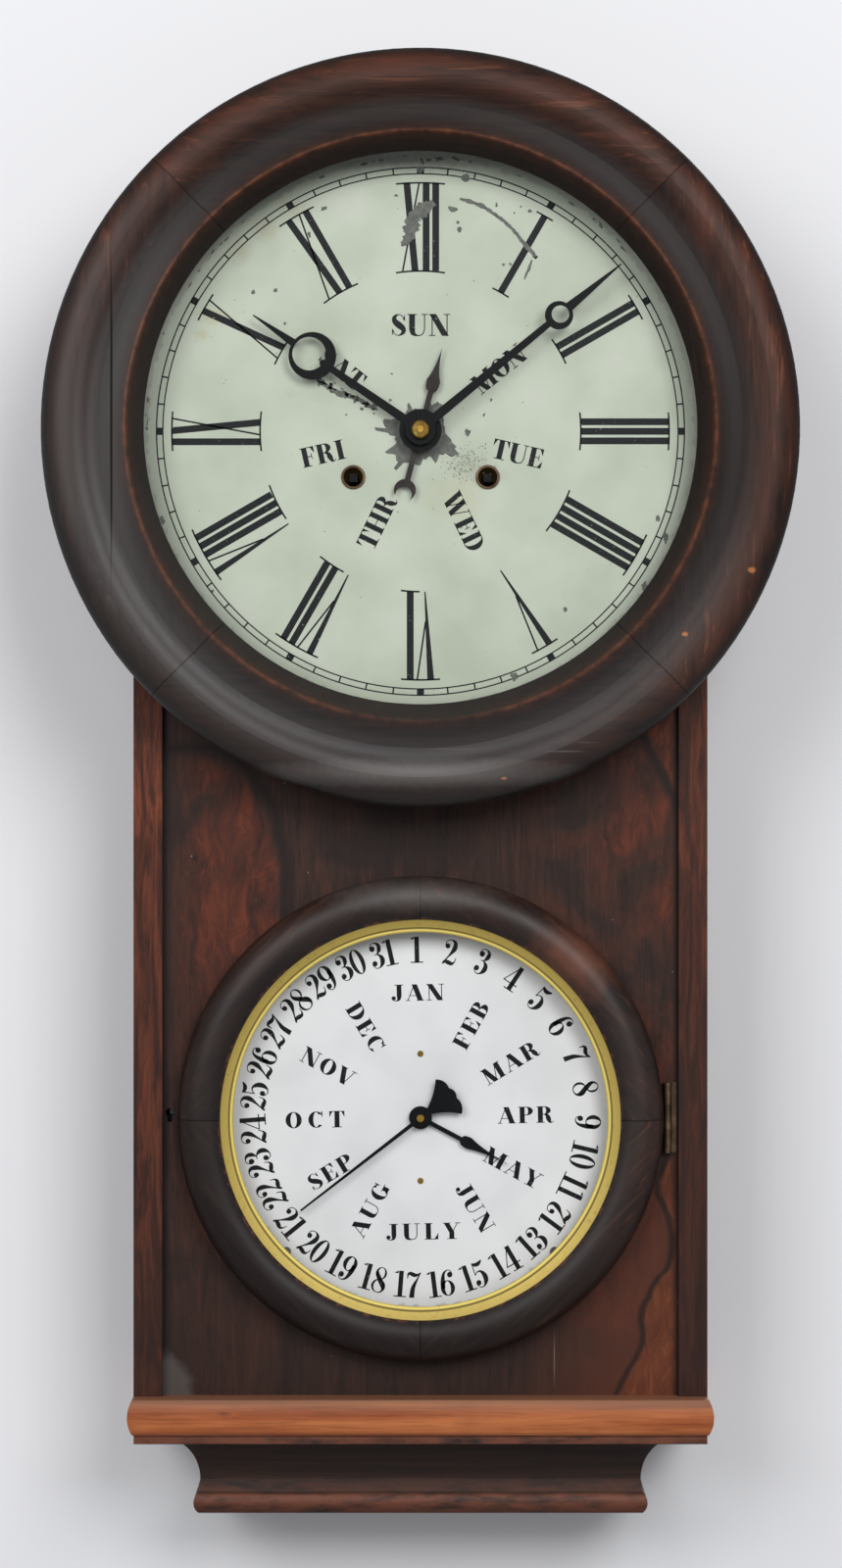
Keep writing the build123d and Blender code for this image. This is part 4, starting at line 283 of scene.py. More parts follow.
# Painted shade in the gaps beside the stiles, a rubbed grey corner, a pale scratch, and dust
side = add(veneer, "Math", {0: x}, operation="ABSOLUTE")
gap_shade = add(veneer, "MapRange", {"Value": side, "From Min": 0.1355, "From Max": 0.1395, "To Max": 0.85})
corner = oval(veneer, place, -140, -664, 18, 28, soft=0.25, ragged=0.4, much=0.6)
scratch = oval(veneer, place, 72.7, -642, 0.5, 18, soft=0.9, ragged=0.5, much=0.6)
specks = add(veneer, "TexVoronoi", {"Vector": place, "Scale": 1 / (16 * MM), "Randomness": 1.0})
specks = add(veneer, "MapRange", {"Value": specks, "From Min": 0.035, "From Max": 0.02, "To Max": 0.7})
colour = coats(veneer, colour, (gap_shade, "#120C0A"), (corner, "#55514D"), (scratch, "#7A7068"),
               (specks, "#8A8078"))
plug(veneer, shader, {"Base Color": colour})

# Pine side boards, planed, stained red and varnished: upright flames of orange red and black
RED_PINE = ((0.32, "#26130B"), (0.46, "#472113"), (0.56, "#62301C"), (0.7, "#7C3F26"))
side_wood, shader, place = new_finish("pine, planed, stained red and varnished", IOR=1.5,
                                      Specular_IOR_Level=0.22)
colour = grain(side_wood, shader, place, (6, 6, 60), RED_PINE, rough=(0.46, 0.6), twist=1.0, pores=0.35)
ends = add(side_wood, "SeparateXYZ", {0: place})
# Painted shade: the boards darken in clouds toward the bottom, where the light falls off
cloud = add(side_wood, "TexNoise", {"Vector": place, "Scale": 1 / (60 * MM), "Detail": 4.0})
cloud = add(side_wood, "Math", {0: cloud, 1: 0.30, 2: ends.outputs["Z"]}, operation="MULTIPLY_ADD")
low_shade = add(side_wood, "MapRange", {"Value": cloud, "From Min": -0.20, "From Max": -0.48, "To Max": 0.75})
shade = add(side_wood, "MapRange", {"Value": ends.outputs["X"], "From Min": 0.0, "From Max": 0.14,
                                    "To Max": 0.42})
plug(side_wood, shader, {"Base Color": coats(side_wood, colour, (low_shade, "#241410"), (shade, "#2A1812"))})

# Pine top board, planed and stained like the sides: its streaks run across the clock
top_wood = plain_wood("pine top board, planed, stained red and varnished", (60, 6, 6), RED_PINE,
                      rough=(0.46, 0.6), gloss=0.22, twist=1.0, pores=0.35)

# Pine bottom board, planed, stained lighter and varnished: long even streaks, dust on its top edge
bottom_wood, shader, place = new_finish("pine, planed, stained light and varnished", IOR=1.5,
                                        Specular_IOR_Level=0.25)
colour = grain(bottom_wood, shader, place, (150, 7, 7),
               ((0.3, "#8A4626"), (0.5, "#AC6238"), (0.7, "#BE7444")), rough=(0.4, 0.52),
               twist=0.5, pores=0.2)
ends = add(bottom_wood, "SeparateXYZ", {0: place})
tired = add(bottom_wood, "TexNoise", {"Vector": place, "Scale": 1 / (40 * MM), "Detail": 4.0})
tired = add(bottom_wood, "MapRange", {"Value": tired, "From Min": 0.55, "From Max": 0.75, "To Max": 0.45})
top = add(bottom_wood, "MapRange", {"Value": ends.outputs["Z"], "From Min": -0.6685, "From Max": -0.6625,
                                    "To Max": 0.7})
foot_line = add(bottom_wood, "MapRange", {"Value": ends.outputs["Z"], "From Min": -0.6785,
                                          "From Max": -0.6805, "To Max": 0.55})
knot = oval(bottom_wood, place, -106, -669, 5, 1.6, soft=0.8, ragged=0.6, much=0.55)
plug(bottom_wood, shader, {"Base Color": coats(bottom_wood, colour, (tired, "#84472C"), (top, "#6E5240"),
                                               (foot_line, "#5A2E1E"), (knot, "#4A2A1E"))})

# Birch base moulding, planed, stained and varnished: rubbed red where proud, black in the hollow, where the
# cove's darkness is also painted shade
base_wood, shader, place = new_finish("birch moulding, planed, stained and varnished", IOR=1.5,
                                      Specular_IOR_Level=0.3)
colour = grain(base_wood, shader, place, (120, 5, 5), ((0.3, "#1A110D"), (0.5, "#281A13"), (0.72, "#38241B")),
               rough=(0.46, 0.6), pores=0.3)
ends = add(base_wood, "SeparateXYZ", {0: place})
# By height up the moulding: how much rubbed red shows; the cove is kept nearly black as painted shade under
# the bottom board
member = add(base_wood, "MapRange", {"Value": ends.outputs["Z"], "From Min": -0.7295, "From Max": -0.681})
MEMBER_RUB_AND_SHADE = ((0.0, "#909090"), (1.0, "#C8C8C8"), (0.2, "#E0E0E0"), (0.24, "#606060"), (0.26, "#909090"),
           (0.36, "#707070"), (0.42, "#303030"), (0.85, "#1C1C1C"), (0.895, "#202020"), (0.91, "#D0D0D0"))
member = add(base_wood, "ValToRGB", {"Fac": member}, MEMBER_RUB_AND_SHADE)
drawn = add(base_wood, "Mapping", {"Vector": place, "Scale": (40, 160, 160)})
rubbed = add(base_wood, "TexNoise", {"Vector": drawn, "Scale": 1.0, "Detail": 6.0, "Roughness": 0.68})
rubbed = add(base_wood, "MapRange", {"Value": rubbed, "From Min": 0.34, "From Max": 0.56})
plug(base_wood, shader, {"Base Color": coats(base_wood, colour, (rubbed, member, "#7E4630"))})

# Pine head frame, turned and stained to match the rings: plain and dull
frame_wood = plain_wood("pine, turned, stained brown and waxed", (6, 6, 120),
                        ((0.3, "#2A1A12"), (0.5, "#3A251A"), (0.72, "#4A3122")), rough=(0.55, 0.7))

# Pine inside the case, sawn and left bare: pale and dry
bare_wood = plain_wood("pine, sawn and left bare", (6, 6, 120),
                       ((0.3, "#8A6844"), (0.5, "#A98558"), (0.72, "#BE9C6C")), rough=(0.62, 0.78))

# The rings: a glue seam, chips down to bare wood, fine scratches, a grey sheen painted on as
# highlight, a dark band painted on as shade, and a reddish patch at the calendar ring's upper right
CHIP, PAINTED_SHEEN = "#A86A3C", "#7E7A77"
ring_wood = turned_ring(
    "birch head ring, turned, stained and varnished", HAND_Z, turn=0.0,
    stops=((0.3, "#150E0C"), (0.5, "#1D1512"), (0.72, "#291C17")), gloss=(0.54, 0.18),
    # The arris is rubbed orange; the dark band at the outer edge is painted shade where the roll turns away
    edges=((157.0, 5.5, 0.2, 0.8, 0.45, "#54301F"), (156.8, 1.6, 0.3, 0.72, 0.7, "#7A4830"),
           (202.4, 8.0, 0.0, 0.2, 0.85, "#0E0A08")),
    red=(172, 188, 0.95, "#5C3324"), seams=((-164, -133, 0.9, 101, 0.5, 0.0, 0.8),),
    marks=((CHIP, 175.6, -216.6, 2.6, 1.9, 0.5, 1.2, 0.9), (CHIP, 140.2, -250.5, 1.9, 1.4, 0.5, 1.2, 0.9),
           # Painted highlight: the grey sheen on the lower roll. Painted shade: the dark band just outside
           # the lower arris
           (CHIP, 44.3, -327, 1.8, 0.9, 0.5, 1.2, 0.9), (PAINTED_SHEEN, 0, -324, 105, 9, 0.95, 0.3, 0.4),
           ("#1C1613", 0, -294, 72, 8, 0.6, 0.3, 0.6), ("#6A6460", 77, -312.7, 13, 0.5, 0.8, 0.8, 0.5),
           ("#5A5652", 18, -311.5, 16, 0.4, 0.8, 0.8, 0.4), ("#5A5652", 88, -308, 8, 0.4, 0.8, 0.8, 0.4)))
calendar_wood = turned_ring(
    "birch calendar ring, turned, stained and varnished", DATE_Z, turn=math.pi / 4,
    stops=((0.3, "#14100E"), (0.5, "#1B1513"), (0.72, "#261C19")), gloss=(0.22, 0.34),
    edges=((108.6, 1.0, 0.5, 0.62, 0.6, "#74432F"),), red=(106, 118, 0.35, "#4E2E20"), seams=(),
    # A reddish patch at the upper right, and a grey sheen painted along the top as highlight
    marks=(("#7E4C38", 84, -424, 36, 26, 0.95, 0.9, 0.5), ("#6C6865", -6, -389, 58, 11, 0.95, 0.4, 0.4)))


def dial_paint(name, centre_z, base, margin, edge_at, spots):
    """Oil paint on a zinc plate, brushed: faintly mottled, grey at the margin as painted shade under the lip
    around it, stained in places.

    A spot has its place, half width, half height, strength and tint.
    """
    mat, shader, place = new_finish(name, IOR=1.48, Roughness=0.55)
    radius = from_axis(mat, place, centre_z)
    mottle = add(mat, "TexNoise", {"Vector": place, "Scale": 1 / (38 * MM), "Detail": 5.0})
    torn = add(mat, "TexNoise", {"Vector": place, "Scale": 1 / (5 * MM), "Detail": 4.0, "Roughness": 0.6})
    ragged = add(mat, "Math", {0: mottle, 1: 0.012, 2: radius}, operation="MULTIPLY_ADD")
    # Painted shade: the margin greys where the lip around the dial shades it
    rim_shade = add(mat, "MapRange", {"Value": ragged, "From Min": (edge_at - 3) * MM,
                                   "From Max": (edge_at + 6) * MM})
    chipped = add(mat, "Math", {0: torn, 1: 0.008, 2: radius}, operation="MULTIPLY_ADD")
    chipped = add(mat, "MapRange", {"Value": chipped, "From Min": (edge_at + 3.2) * MM,
                                    "From Max": (edge_at + 4.4) * MM, "To Max": 0.55})
    dust = add(mat, "TexNoise", {"Vector": place, "Scale": 1 / (1.4 * MM), "Detail": 2.0})
    dust = add(mat, "MapRange", {"Value": dust, "From Min": 0.74, "From Max": 0.80, "To Max": 0.8})
    colour = coats(mat, add(mat, "ValToRGB", {"Fac": mottle}, base), (rim_shade, margin), (chipped, "#8C8E86"),
                   (dust, "#868A82"))
    for x, z, half, tall, much, tint in spots:
        stain = oval(mat, place, x, z, half, tall, soft=0.9, ragged=0.9, much=much)
        colour = coats(mat, colour, (stain, tint))
    bump = add(mat, "Bump", {"Height": torn, "Strength": 0.08, "Distance": 0.1 * MM})
    plug(mat, shader, {"Base Color": colour, "Normal": bump})
    return mat


YELLOWED = "#B3A988"
time_paint = dial_paint(
    "oil paint on zinc, brushed, green white", HAND_Z,
    base=((0.3, "#B7C0AC"), (0.5, "#C1CAB7"), (0.7, "#CAD1C0")), margin="#AEB5A3", edge_at=147.5,
    spots=((-112, -78, 11, 6, 0.55, "#B9AE74"), (-118, -88, 5, 4, 0.45, "#B9AE74"),
           (36, -164, 13, 7, 0.5, "#8F938A"), (-8, 5, 58, 6, 0.75, "#868A82"),
           (20, -176, 22, 16, 0.35, "#BDB68C"), (-70, -120, 6, 4, 0.25, "#A9A88A"),
           (27, -158, 17, 9, 0.45, "#A09F88"), (-97, -43, 9, 9, 0.45, YELLOWED),
           (-84, -31, 9, 9, 0.45, YELLOWED), (-69, -20, 9, 8, 0.4, YELLOWED)))
date_paint = dial_paint(
    "oil paint on zinc, brushed, white", DATE_Z,
    base=((0.3, "#DFE0E0"), (0.5, "#E7E8E8"), (0.7, "#EDEEEE")), margin="#D8DADA", edge_at=103.0, spots=())

# Brass bezel, stamped and gilt: a dull olive band, a fine dark line of painted shade in the groove and a
# bright bead of painted highlight
gilt, shader, place = new_finish("brass bezel, stamped and gilt", Metallic=0.35)
radius = from_axis(gilt, place, DATE_Z)
across = add(gilt, "MapRange", {"Value": radius, "From Min": 100.5 * MM, "From Max": 108.5 * MM})
cloud = add(gilt, "TexNoise", {"Vector": place, "Scale": 1 / (3 * MM), "Detail": 5.0, "Roughness": 0.6})
# By radius: the bright bead as painted highlight, the dark groove line as painted shade, then the dull olive
# band
BEZEL_TONE_AND_LIGHT = ((0.0, "#C0A548"), (1.0, "#94803F"), (0.22, "#E4D070"), (0.32, "#76622A"), (0.37, "#5E4D1D"),
         (0.43, "#BEA755"), (0.9, "#B59D4E"))
band = add(gilt, "ValToRGB", {"Fac": across}, BEZEL_TONE_AND_LIGHT)
specks = add(gilt, "MapRange", {"Value": cloud, "From Min": 0.58, "From Max": 0.75, "To Max": 0.5})
dull = add(gilt, "MapRange", {"Value": cloud, "To Min": 0.42, "To Max": 0.58})
plug(gilt, shader, {"Base Color": coats(gilt, band, (specks, "#7E6A32")), "Roughness": dull})

# Metals, filed and finished: each with the clouds and scratches that show in its light
brass = tarnished("brass, cut and polished",
                  ((0.3, "#8A6A2E"), (0.55, "#B08A3C"), (0.75, "#C7A453")), rough=(0.25, 0.42))
old_brass = tarnished("brass, stamped and tarnished",
                      ((0.3, "#43362A"), (0.55, "#655240"), (0.75, "#8A7554")), rough=(0.35, 0.55))
nut_brass = tarnished("brass, turned and darkened",
                      ((0.3, "#5A4724"), (0.55, "#846A34"), (0.75, "#AA8E4A")), rough=(0.3, 0.45), blot=3.0)
steel = tarnished("steel, ground",
                  ((0.3, "#6E7072"), (0.55, "#8D9092"), (0.75, "#A9ACAE")), rough=(0.28, 0.45))
black_steel = tarnished("steel, cut and blacked",
                        ((0.3, "#050608"), (0.55, "#090A0C"), (0.75, "#121315")), rough=(0.38, 0.5),
                        blot=6.0, metallic=0.0, gloss=0.15)
brown_steel = tarnished("steel, cut and browned",
                        ((0.3, "#241F1D"), (0.55, "#322C2A"), (0.75, "#443C38")), rough=(0.4, 0.55),
                        blot=6.0, metallic=0.2, gloss=0.25)
iron = tarnished("iron, cast and japanned",
                 ((0.3, "#1C1B1A"), (0.55, "#2A2826"), (0.75, "#3D3834")), rough=(0.45, 0.6),
                 blot=7.0, metallic=0.5)
zinc = tarnished("zinc, rolled, bared under flaked paint",
                 ((0.3, "#565853"), (0.5, "#676963"), (0.72, "#7A7C75")), rough=(0.5, 0.7),
                 blot=2.0, metallic=0.0, gloss=0.3)
# Window glass, blown: clear, with only its gloss to see
glass, _, _ = new_finish("window glass, blown", Base_Color="#0C0F0E", Roughness=0.03, IOR=1.5, Alpha=0.04,
                         Specular_IOR_Level=0.25)


def dial_ink(name, code):
    """Oil ink, printed: black, and thin where it has rubbed."""
    mat, shader, place = new_finish(name, Roughness=0.5, Specular_IOR_Level=0.2)
    thin = add(mat, "TexNoise", {"Vector": place, "Scale": 1 / (1.6 * MM), "Detail": 5.0, "Roughness": 0.65})
    thin = add(mat, "MapRange", {"Value": thin, "From Min": 0.65, "From Max": 0.70})
    plug(mat, shader, {"Base Color": coats(mat, code, (thin, "#9CA296"))})
    return mat


time_ink = dial_ink("oil ink, printed on the time dial", "#1A1C1E")
date_ink = dial_ink("oil ink, printed on the calendar dial", "#101114")

wear = {
    "head_ring": ring_wood, "calendar_ring": calendar_wood, "front_panel": veneer, "side_boards": side_wood,
    "top_board": top_wood, "bottom_board": bottom_wood, "base_mouldings": base_wood,
    "time_dial": time_paint, "calendar_dial": date_paint, "calendar_bezel": gilt, "head_glass": glass,
    "calendar_glass": glass, "weekday_hand": brown_steel, "head_frame": frame_wood, "hand_nut": nut_brass,
}
finishes = (
    (bare_wood, "back_board movement_rails"),
    (old_brass, "winding_grommets hanger_plate hinge_case_leaves calendar_hinge_leaf head_hinge_leaf"),
    (black_steel, "minute_hand hour_hand date_hand month_hand time_winding_arbor strike_winding_arbor"),
    (steel, "lock_bolt pendulum_rod gong_coil mainsprings verge wood_screws calendar_rod trip_lever hammer"),
    (iron, "lock_case gong_stand"),
)
for finish, names in finishes:
    wear.update(dict.fromkeys(names.split(), finish))
for node_name, piece in nodes.items():
    piece.data.materials.clear()
    piece.data.materials.append(wear.get(node_name, brass))


# Lettering: flat strokes on a dial's plane. A place is a matrix from a letter's own plane to the dial

HAIR, BALL_SIDES, BOWL_STEPS = 0.045, 20, 36


def bar(bm, place, x0, y0, x1, y1):
    """Lays an upright or lying bar between two corners."""
    slope(bm, place, (x0 + x1) / 2, y0, (x0 + x1) / 2, y1, x1 - x0)


def slope(bm, place, x0, y0, x1, y1, width):
    """Lays a leaning bar from a foot to a head, level at both ends."""
    lean = Matrix(((width, x1 - x0, 0, (x0 + x1) / 2), (0, y1 - y0, 0, (y0 + y1) / 2),
                   (0, 0, 1, 0), (0, 0, 0, 1)))
    bmesh.ops.create_grid(bm, x_segments=1, y_segments=1, size=0.5, matrix=place @ lean)


def foot(bm, place, y, x0, x1):
    """Lays a hairline serif that ends flush with the line of the letters."""
    low = y - HAIR if y == 1 else y - HAIR / 2 if y else 0
    bar(bm, place, x0, low, x1, low + HAIR)


def wedge(bm, place, *spots):
    """Lays a bracket or spur of three or four corners."""
    bmesh.ops.contextual_create(bm, geom=[bm.verts.new(place @ Vector((x, y, 0))) for x, y in spots])


def ball(bm, place, x, y, radius):
    """Lays the ball at the end of a numeral's curl."""
    bmesh.ops.create_circle(bm, cap_ends=True, segments=BALL_SIDES, radius=radius,
                            matrix=place @ Matrix.Translation((x, y, 0)))


def drawn_out(bm, place, pairs):
    """Draws the edge between a first pair of points out through the pairs that follow."""
    pairs = [[place @ Vector((x, y, 0)) for x, y in pair] for pair in pairs]
    edge = bm.edges.new([bm.verts.new(spot) for spot in pairs[0]])
    for here, ahead in zip(pairs, pairs[1:]):
        made = bmesh.ops.extrude_edge_only(bm, edges=[edge])["geom"]
        edge = next(part for part in made if isinstance(part, bmesh.types.BMEdge))
        for vert in edge.verts:
            near = (vert.co - here[0]).length < (vert.co - here[1]).length
            vert.co = ahead[0] if near else ahead[1]


def bent(knots, t):
    """Gives a point and a width on a smooth line through knots."""
    i = min(int(t), len(knots) - 2)
    f = t - i
    rows = [knots[max(i - 1, 0)], knots[i], knots[i + 1], knots[min(i + 2, len(knots) - 1)]]
    return [0.5 * (2 * b + (c - a) * f + (2 * a - 5 * b + 4 * c - d) * f ** 2
                   + (3 * b - a - 3 * c + d) * f ** 3) for a, b, c, d in zip(*rows)]


def pen(bm, place, knots, steps=6, shake=None):
    """Draws a swelling stroke through knots of x, y and width, with shaken sides for a scratch."""
    count = (len(knots) - 1) * steps
    spots = [bent(knots, i / steps) for i in range(count + 1)]
    pairs = []
    for i, (x, y, width) in enumerate(spots):
        ahead, behind = spots[min(i + 1, count)], spots[max(i - 1, 0)]
        along = math.atan2(ahead[1] - behind[1], ahead[0] - behind[0])
        sides = [sign * width / 2 * (shake.uniform(0.6, 1.25) if shake else 1) for sign in (1, -1)]
        pairs.append([(x - out * math.sin(along), y + out * math.cos(along)) for out in sides])
    drawn_out(bm, place, pairs)


def bowl(bm, place, x, y, half, tall, thick, thin, start=0, end=360):
    """Draws a round stroke that is thick at its sides and thin at top and foot."""
    turns = [math.radians(start + (end - start) * i / BOWL_STEPS) for i in range(BOWL_STEPS + 1)]
    drawn_out(bm, place, [[(x + a * math.cos(t), y + b * math.sin(t)) for a, b in
                           ((half, tall), (half - thick, tall - thin))] for t in turns])


# Each letter has its width and its strokes, on a capital one unit high
STEM, STEM_FOOT, STEM_HEAD = (bar, 0.10, 0, 0.37, 1), (foot, 0, 0.02, 0.46), (foot, 1, 0.02, 0.46)
ROUND = ((bowl, 0.47, 0.5, 0.43, 0.5, 0.27, 0.04, 42, 318),
         (wedge, (0.76, 1), (0.81, 1), (0.81, 0.62), (0.72, 0.82)))
CURL = ((0.34, 0.03, 0.059), (0.17, 0.02, 0.035), (0.05, 0.16, 0.03))
LETTERS = {
    "A": (0.98, (slope, 0.10, 0, 0.47, 1, 0.05), (slope, 0.47, 1, 0.80, 0, 0.29),
          (bar, 0.22, 0.29, 0.66, 0.335), (foot, 0, 0.0, 0.25), (foot, 0, 0.58, 1.0)),
    "B": (0.88, STEM, STEM_FOOT, STEM_HEAD, (bowl, 0.44, 0.755, 0.32, 0.245, 0.25, 0.045, -90, 90),
          (bowl, 0.46, 0.265, 0.38, 0.265, 0.27, 0.045, -90, 90), (bar, 0.3, 0.51, 0.46, 0.55)),
    "C": (0.86, *ROUND),
    "D": (0.94, STEM, (foot, 0, 0.02, 0.48), (foot, 1, 0.02, 0.48),
          (bowl, 0.42, 0.5, 0.48, 0.5, 0.27, 0.045, -90, 90)),
    "E": (0.84, STEM, (foot, 0, 0.02, 0.76), (foot, 1, 0.02, 0.74), (foot, 0.52, 0.34, 0.57),
          (bar, 0.545, 0.37, 0.585, 0.67), (wedge, (0.74, 1), (0.74, 0.64), (0.56, 0.96)),
          (wedge, (0.76, 0), (0.78, 0.38), (0.56, 0.04))),
    "F": (0.80, STEM, (foot, 0, 0.02, 0.5), (foot, 1, 0.02, 0.74), (foot, 0.5, 0.34, 0.57),
          (bar, 0.545, 0.35, 0.585, 0.65), (wedge, (0.74, 1), (0.74, 0.62), (0.56, 0.96))),
    "G": (0.96, *ROUND, (bar, 0.62, 0.05, 0.87, 0.42), (foot, 0.42, 0.52, 0.97)),
    "I": (0.50, (bar, 0.11, 0, 0.38, 1), (foot, 0, 0.02, 0.47), (foot, 1, 0.02, 0.47)),
    "H": (1.06, STEM, (bar, 0.67, 0, 0.94, 1), (foot, 0.5, 0.34, 0.7), STEM_FOOT, STEM_HEAD,
          (foot, 0, 0.58, 1.03), (foot, 1, 0.58, 1.03)),
    "J": (0.68, (bar, 0.32, 0.25, 0.58, 1), (foot, 1, 0.2, 0.68), (ball, 0.15, 0.18, 0.12),
          (pen, ((0.45, 0.28, 0.26), (0.42, 0.1, 0.17), (0.28, 0.02, 0.06), (0.13, 0.05, 0.045),
                 (0.05, 0.16, 0.04)))),
    "L": (0.80, STEM, STEM_HEAD, (foot, 0, 0.02, 0.76), (wedge, (0.76, 0), (0.77, 0.4), (0.56, 0.04))),
    "M": (1.20, (bar, 0.14, 0, 0.19, 1), (bar, 0.84, 0, 1.11, 1), (slope, 0.21, 1, 0.55, 0, 0.28),
          (slope, 0.57, 0, 0.90, 1, 0.05), (foot, 0, 0.02, 0.31), (foot, 1, 0.02, 0.34),
          (foot, 0, 0.75, 1.19), (foot, 1, 0.84, 1.19)),
    "N": (1.00, (bar, 0.14, 0, 0.19, 1), (bar, 0.82, 0, 0.87, 1), (slope, 0.19, 1, 0.77, 0, 0.31),
          (foot, 0, 0.02, 0.31), (foot, 1, 0.02, 0.34), (foot, 1, 0.69, 0.99)),
    "O": (0.92, (bowl, 0.46, 0.5, 0.44, 0.5, 0.27, 0.045)),
    "P": (0.86, STEM, (foot, 0, 0.02, 0.48), STEM_HEAD,
          (bowl, 0.46, 0.735, 0.36, 0.265, 0.26, 0.045, -90, 90), (bar, 0.3, 0.47, 0.47, 0.515)),
    "R": (0.98, STEM, STEM_FOOT, STEM_HEAD, (bowl, 0.45, 0.75, 0.35, 0.25, 0.25, 0.045, -90, 90),
          (bar, 0.3, 0.5, 0.46, 0.545),
          (pen, ((0.45, 0.51, 0.05), (0.6, 0.44, 0.19), (0.67, 0.25, 0.26), (0.75, 0.05, 0.15),
                 (0.86, 0.02, 0.05), (0.95, 0.1, 0.03)))),
    "S": (0.74, (wedge, (0.66, 1), (0.66, 0.66), (0.57, 0.76)),
          (wedge, (0.07, 0), (0.07, 0.34), (0.16, 0.24)),
          (pen, ((0.62, 0.72, 0.03), (0.54, 0.9, 0.04), (0.37, 0.975, 0.05), (0.19, 0.86, 0.17),
                 (0.2, 0.67, 0.25), (0.38, 0.5, 0.3), (0.57, 0.33, 0.25), (0.57, 0.15, 0.17),
                 (0.37, 0.025, 0.05), (0.19, 0.1, 0.04), (0.11, 0.28, 0.03)))),
    "T": (0.88, (bar, 0.305, 0, 0.575, 1), (foot, 0, 0.17, 0.71), (foot, 1, 0.03, 0.85),
          (wedge, (0.03, 1), (0.03, 0.62), (0.19, 0.96)), (wedge, (0.85, 1), (0.85, 0.62), (0.69, 0.96))),
    "U": (0.98, (bar, 0.10, 0.3, 0.37, 1), (bar, 0.78, 0.28, 0.83, 1), STEM_HEAD, (foot, 1, 0.66, 0.96),
          (pen, ((0.235, 0.32, 0.27), (0.28, 0.13, 0.22), (0.42, 0.035, 0.1), (0.55, 0.02, 0.05),
                 (0.72, 0.09, 0.05), (0.805, 0.3, 0.05)))),
    "V": (0.98, (slope, 0.19, 1, 0.5, 0, 0.29), (slope, 0.53, 0, 0.83, 1, 0.05), (foot, 1, 0.0, 0.42),
          (foot, 1, 0.68, 0.98)),
    "W": (1.42, (slope, 0.19, 1, 0.46, 0, 0.27), (slope, 0.49, 0, 0.72, 0.9, 0.05),
          (slope, 0.66, 1, 0.94, 0, 0.27), (slope, 0.97, 0, 1.25, 1, 0.05), (foot, 1, 0.0, 0.42),
          (foot, 1, 0.5, 0.88), (foot, 1, 1.1, 1.4)),
    "Y": (0.96, (slope, 0.19, 1, 0.48, 0.42, 0.29), (slope, 0.51, 0.42, 0.81, 1, 0.05),
          (bar, 0.345, 0, 0.615, 0.44), (foot, 0, 0.21, 0.75), (foot, 1, 0.0, 0.42), (foot, 1, 0.66, 0.96)),
    "0": (0.62, (bowl, 0.31, 0.5, 0.29, 0.5, 0.17, 0.035)),
    "1": (0.54, (bar, 0.18, 0, 0.37, 1), (foot, 0, 0.02, 0.53),
          (wedge, (0.16, 1), (0.02, 0.93), (0.02, 0.9), (0.16, 0.9))),
    "2": (0.62, (ball, 0.16, 0.73, 0.1),
          (pen, ((0.06, 0.74, 0.03), (0.11, 0.91, 0.035), (0.28, 0.98, 0.04), (0.45, 0.88, 0.143),
                 (0.45, 0.66, 0.193), (0.3, 0.4, 0.084), (0.08, 0.1, 0.035))),
          (pen, ((0.05, 0.03, 0.05), (0.15, 0.13, 0.126), (0.29, 0.11, 0.168), (0.43, 0.08, 0.126),
                 (0.53, 0.16, 0.05), (0.57, 0.32, 0.03)))),
    "3": (0.62, (ball, 0.16, 0.77, 0.11), (ball, 0.15, 0.2, 0.105),
          (pen, ((0.06, 0.79, 0.03), (0.13, 0.94, 0.035), (0.28, 0.98, 0.04), (0.43, 0.88, 0.134),
                 (0.43, 0.7, 0.168), (0.32, 0.55, 0.05), (0.2, 0.53, 0.03))),
          (pen, ((0.2, 0.53, 0.03), (0.34, 0.52, 0.05), (0.47, 0.38, 0.168), (0.47, 0.2, 0.185), *CURL))),
    "4": (0.66, (bar, 0.34, 0, 0.53, 1), (foot, 0, 0.2, 0.66), (slope, 0.42, 1, 0.04, 0.27, 0.045),
          (foot, 0.27, 0.02, 0.66)),
    "5": (0.62, (ball, 0.15, 0.2, 0.105), (bar, 0.09, 0.5, 0.13, 0.98),
          (pen, ((0.1, 0.97, 0.06), (0.2, 0.9, 0.134), (0.36, 0.9, 0.151), (0.52, 1.0, 0.05))),
          (pen, ((0.11, 0.5, 0.03), (0.21, 0.6, 0.04), (0.36, 0.6, 0.084), (0.47, 0.43, 0.185),
                 (0.47, 0.22, 0.185), *CURL))),
    "6": (0.64, (ball, 0.46, 0.8, 0.11), (bowl, 0.32, 0.3, 0.29, 0.3, 0.17, 0.035),
          (pen, ((0.56, 0.8, 0.03), (0.5, 0.94, 0.035), (0.36, 0.98, 0.04), (0.21, 0.85, 0.109),
                 (0.14, 0.55, 0.185), (0.13, 0.3, 0.176)))),
    "7": (0.60,
          (pen, ((0.04, 0.72, 0.03), (0.06, 0.89, 0.084), (0.16, 0.92, 0.143), (0.32, 0.87, 0.151),
                 (0.46, 0.9, 0.084), (0.57, 0.985, 0.04))),
          (pen, ((0.56, 0.98, 0.03), (0.43, 0.7, 0.076), (0.3, 0.4, 0.168), (0.27, 0.1, 0.202),
                 (0.27, 0, 0.202)))),
    "8": (0.62, (bowl, 0.30, 0.76, 0.23, 0.24, 0.09, 0.03), (bowl, 0.31, 0.265, 0.29, 0.265, 0.1, 0.035),
          (pen, ((0.13, 0.84, 0.05), (0.18, 0.68, 0.151), (0.32, 0.5, 0.193), (0.46, 0.32, 0.16),
                 (0.5, 0.16, 0.05)))),
}


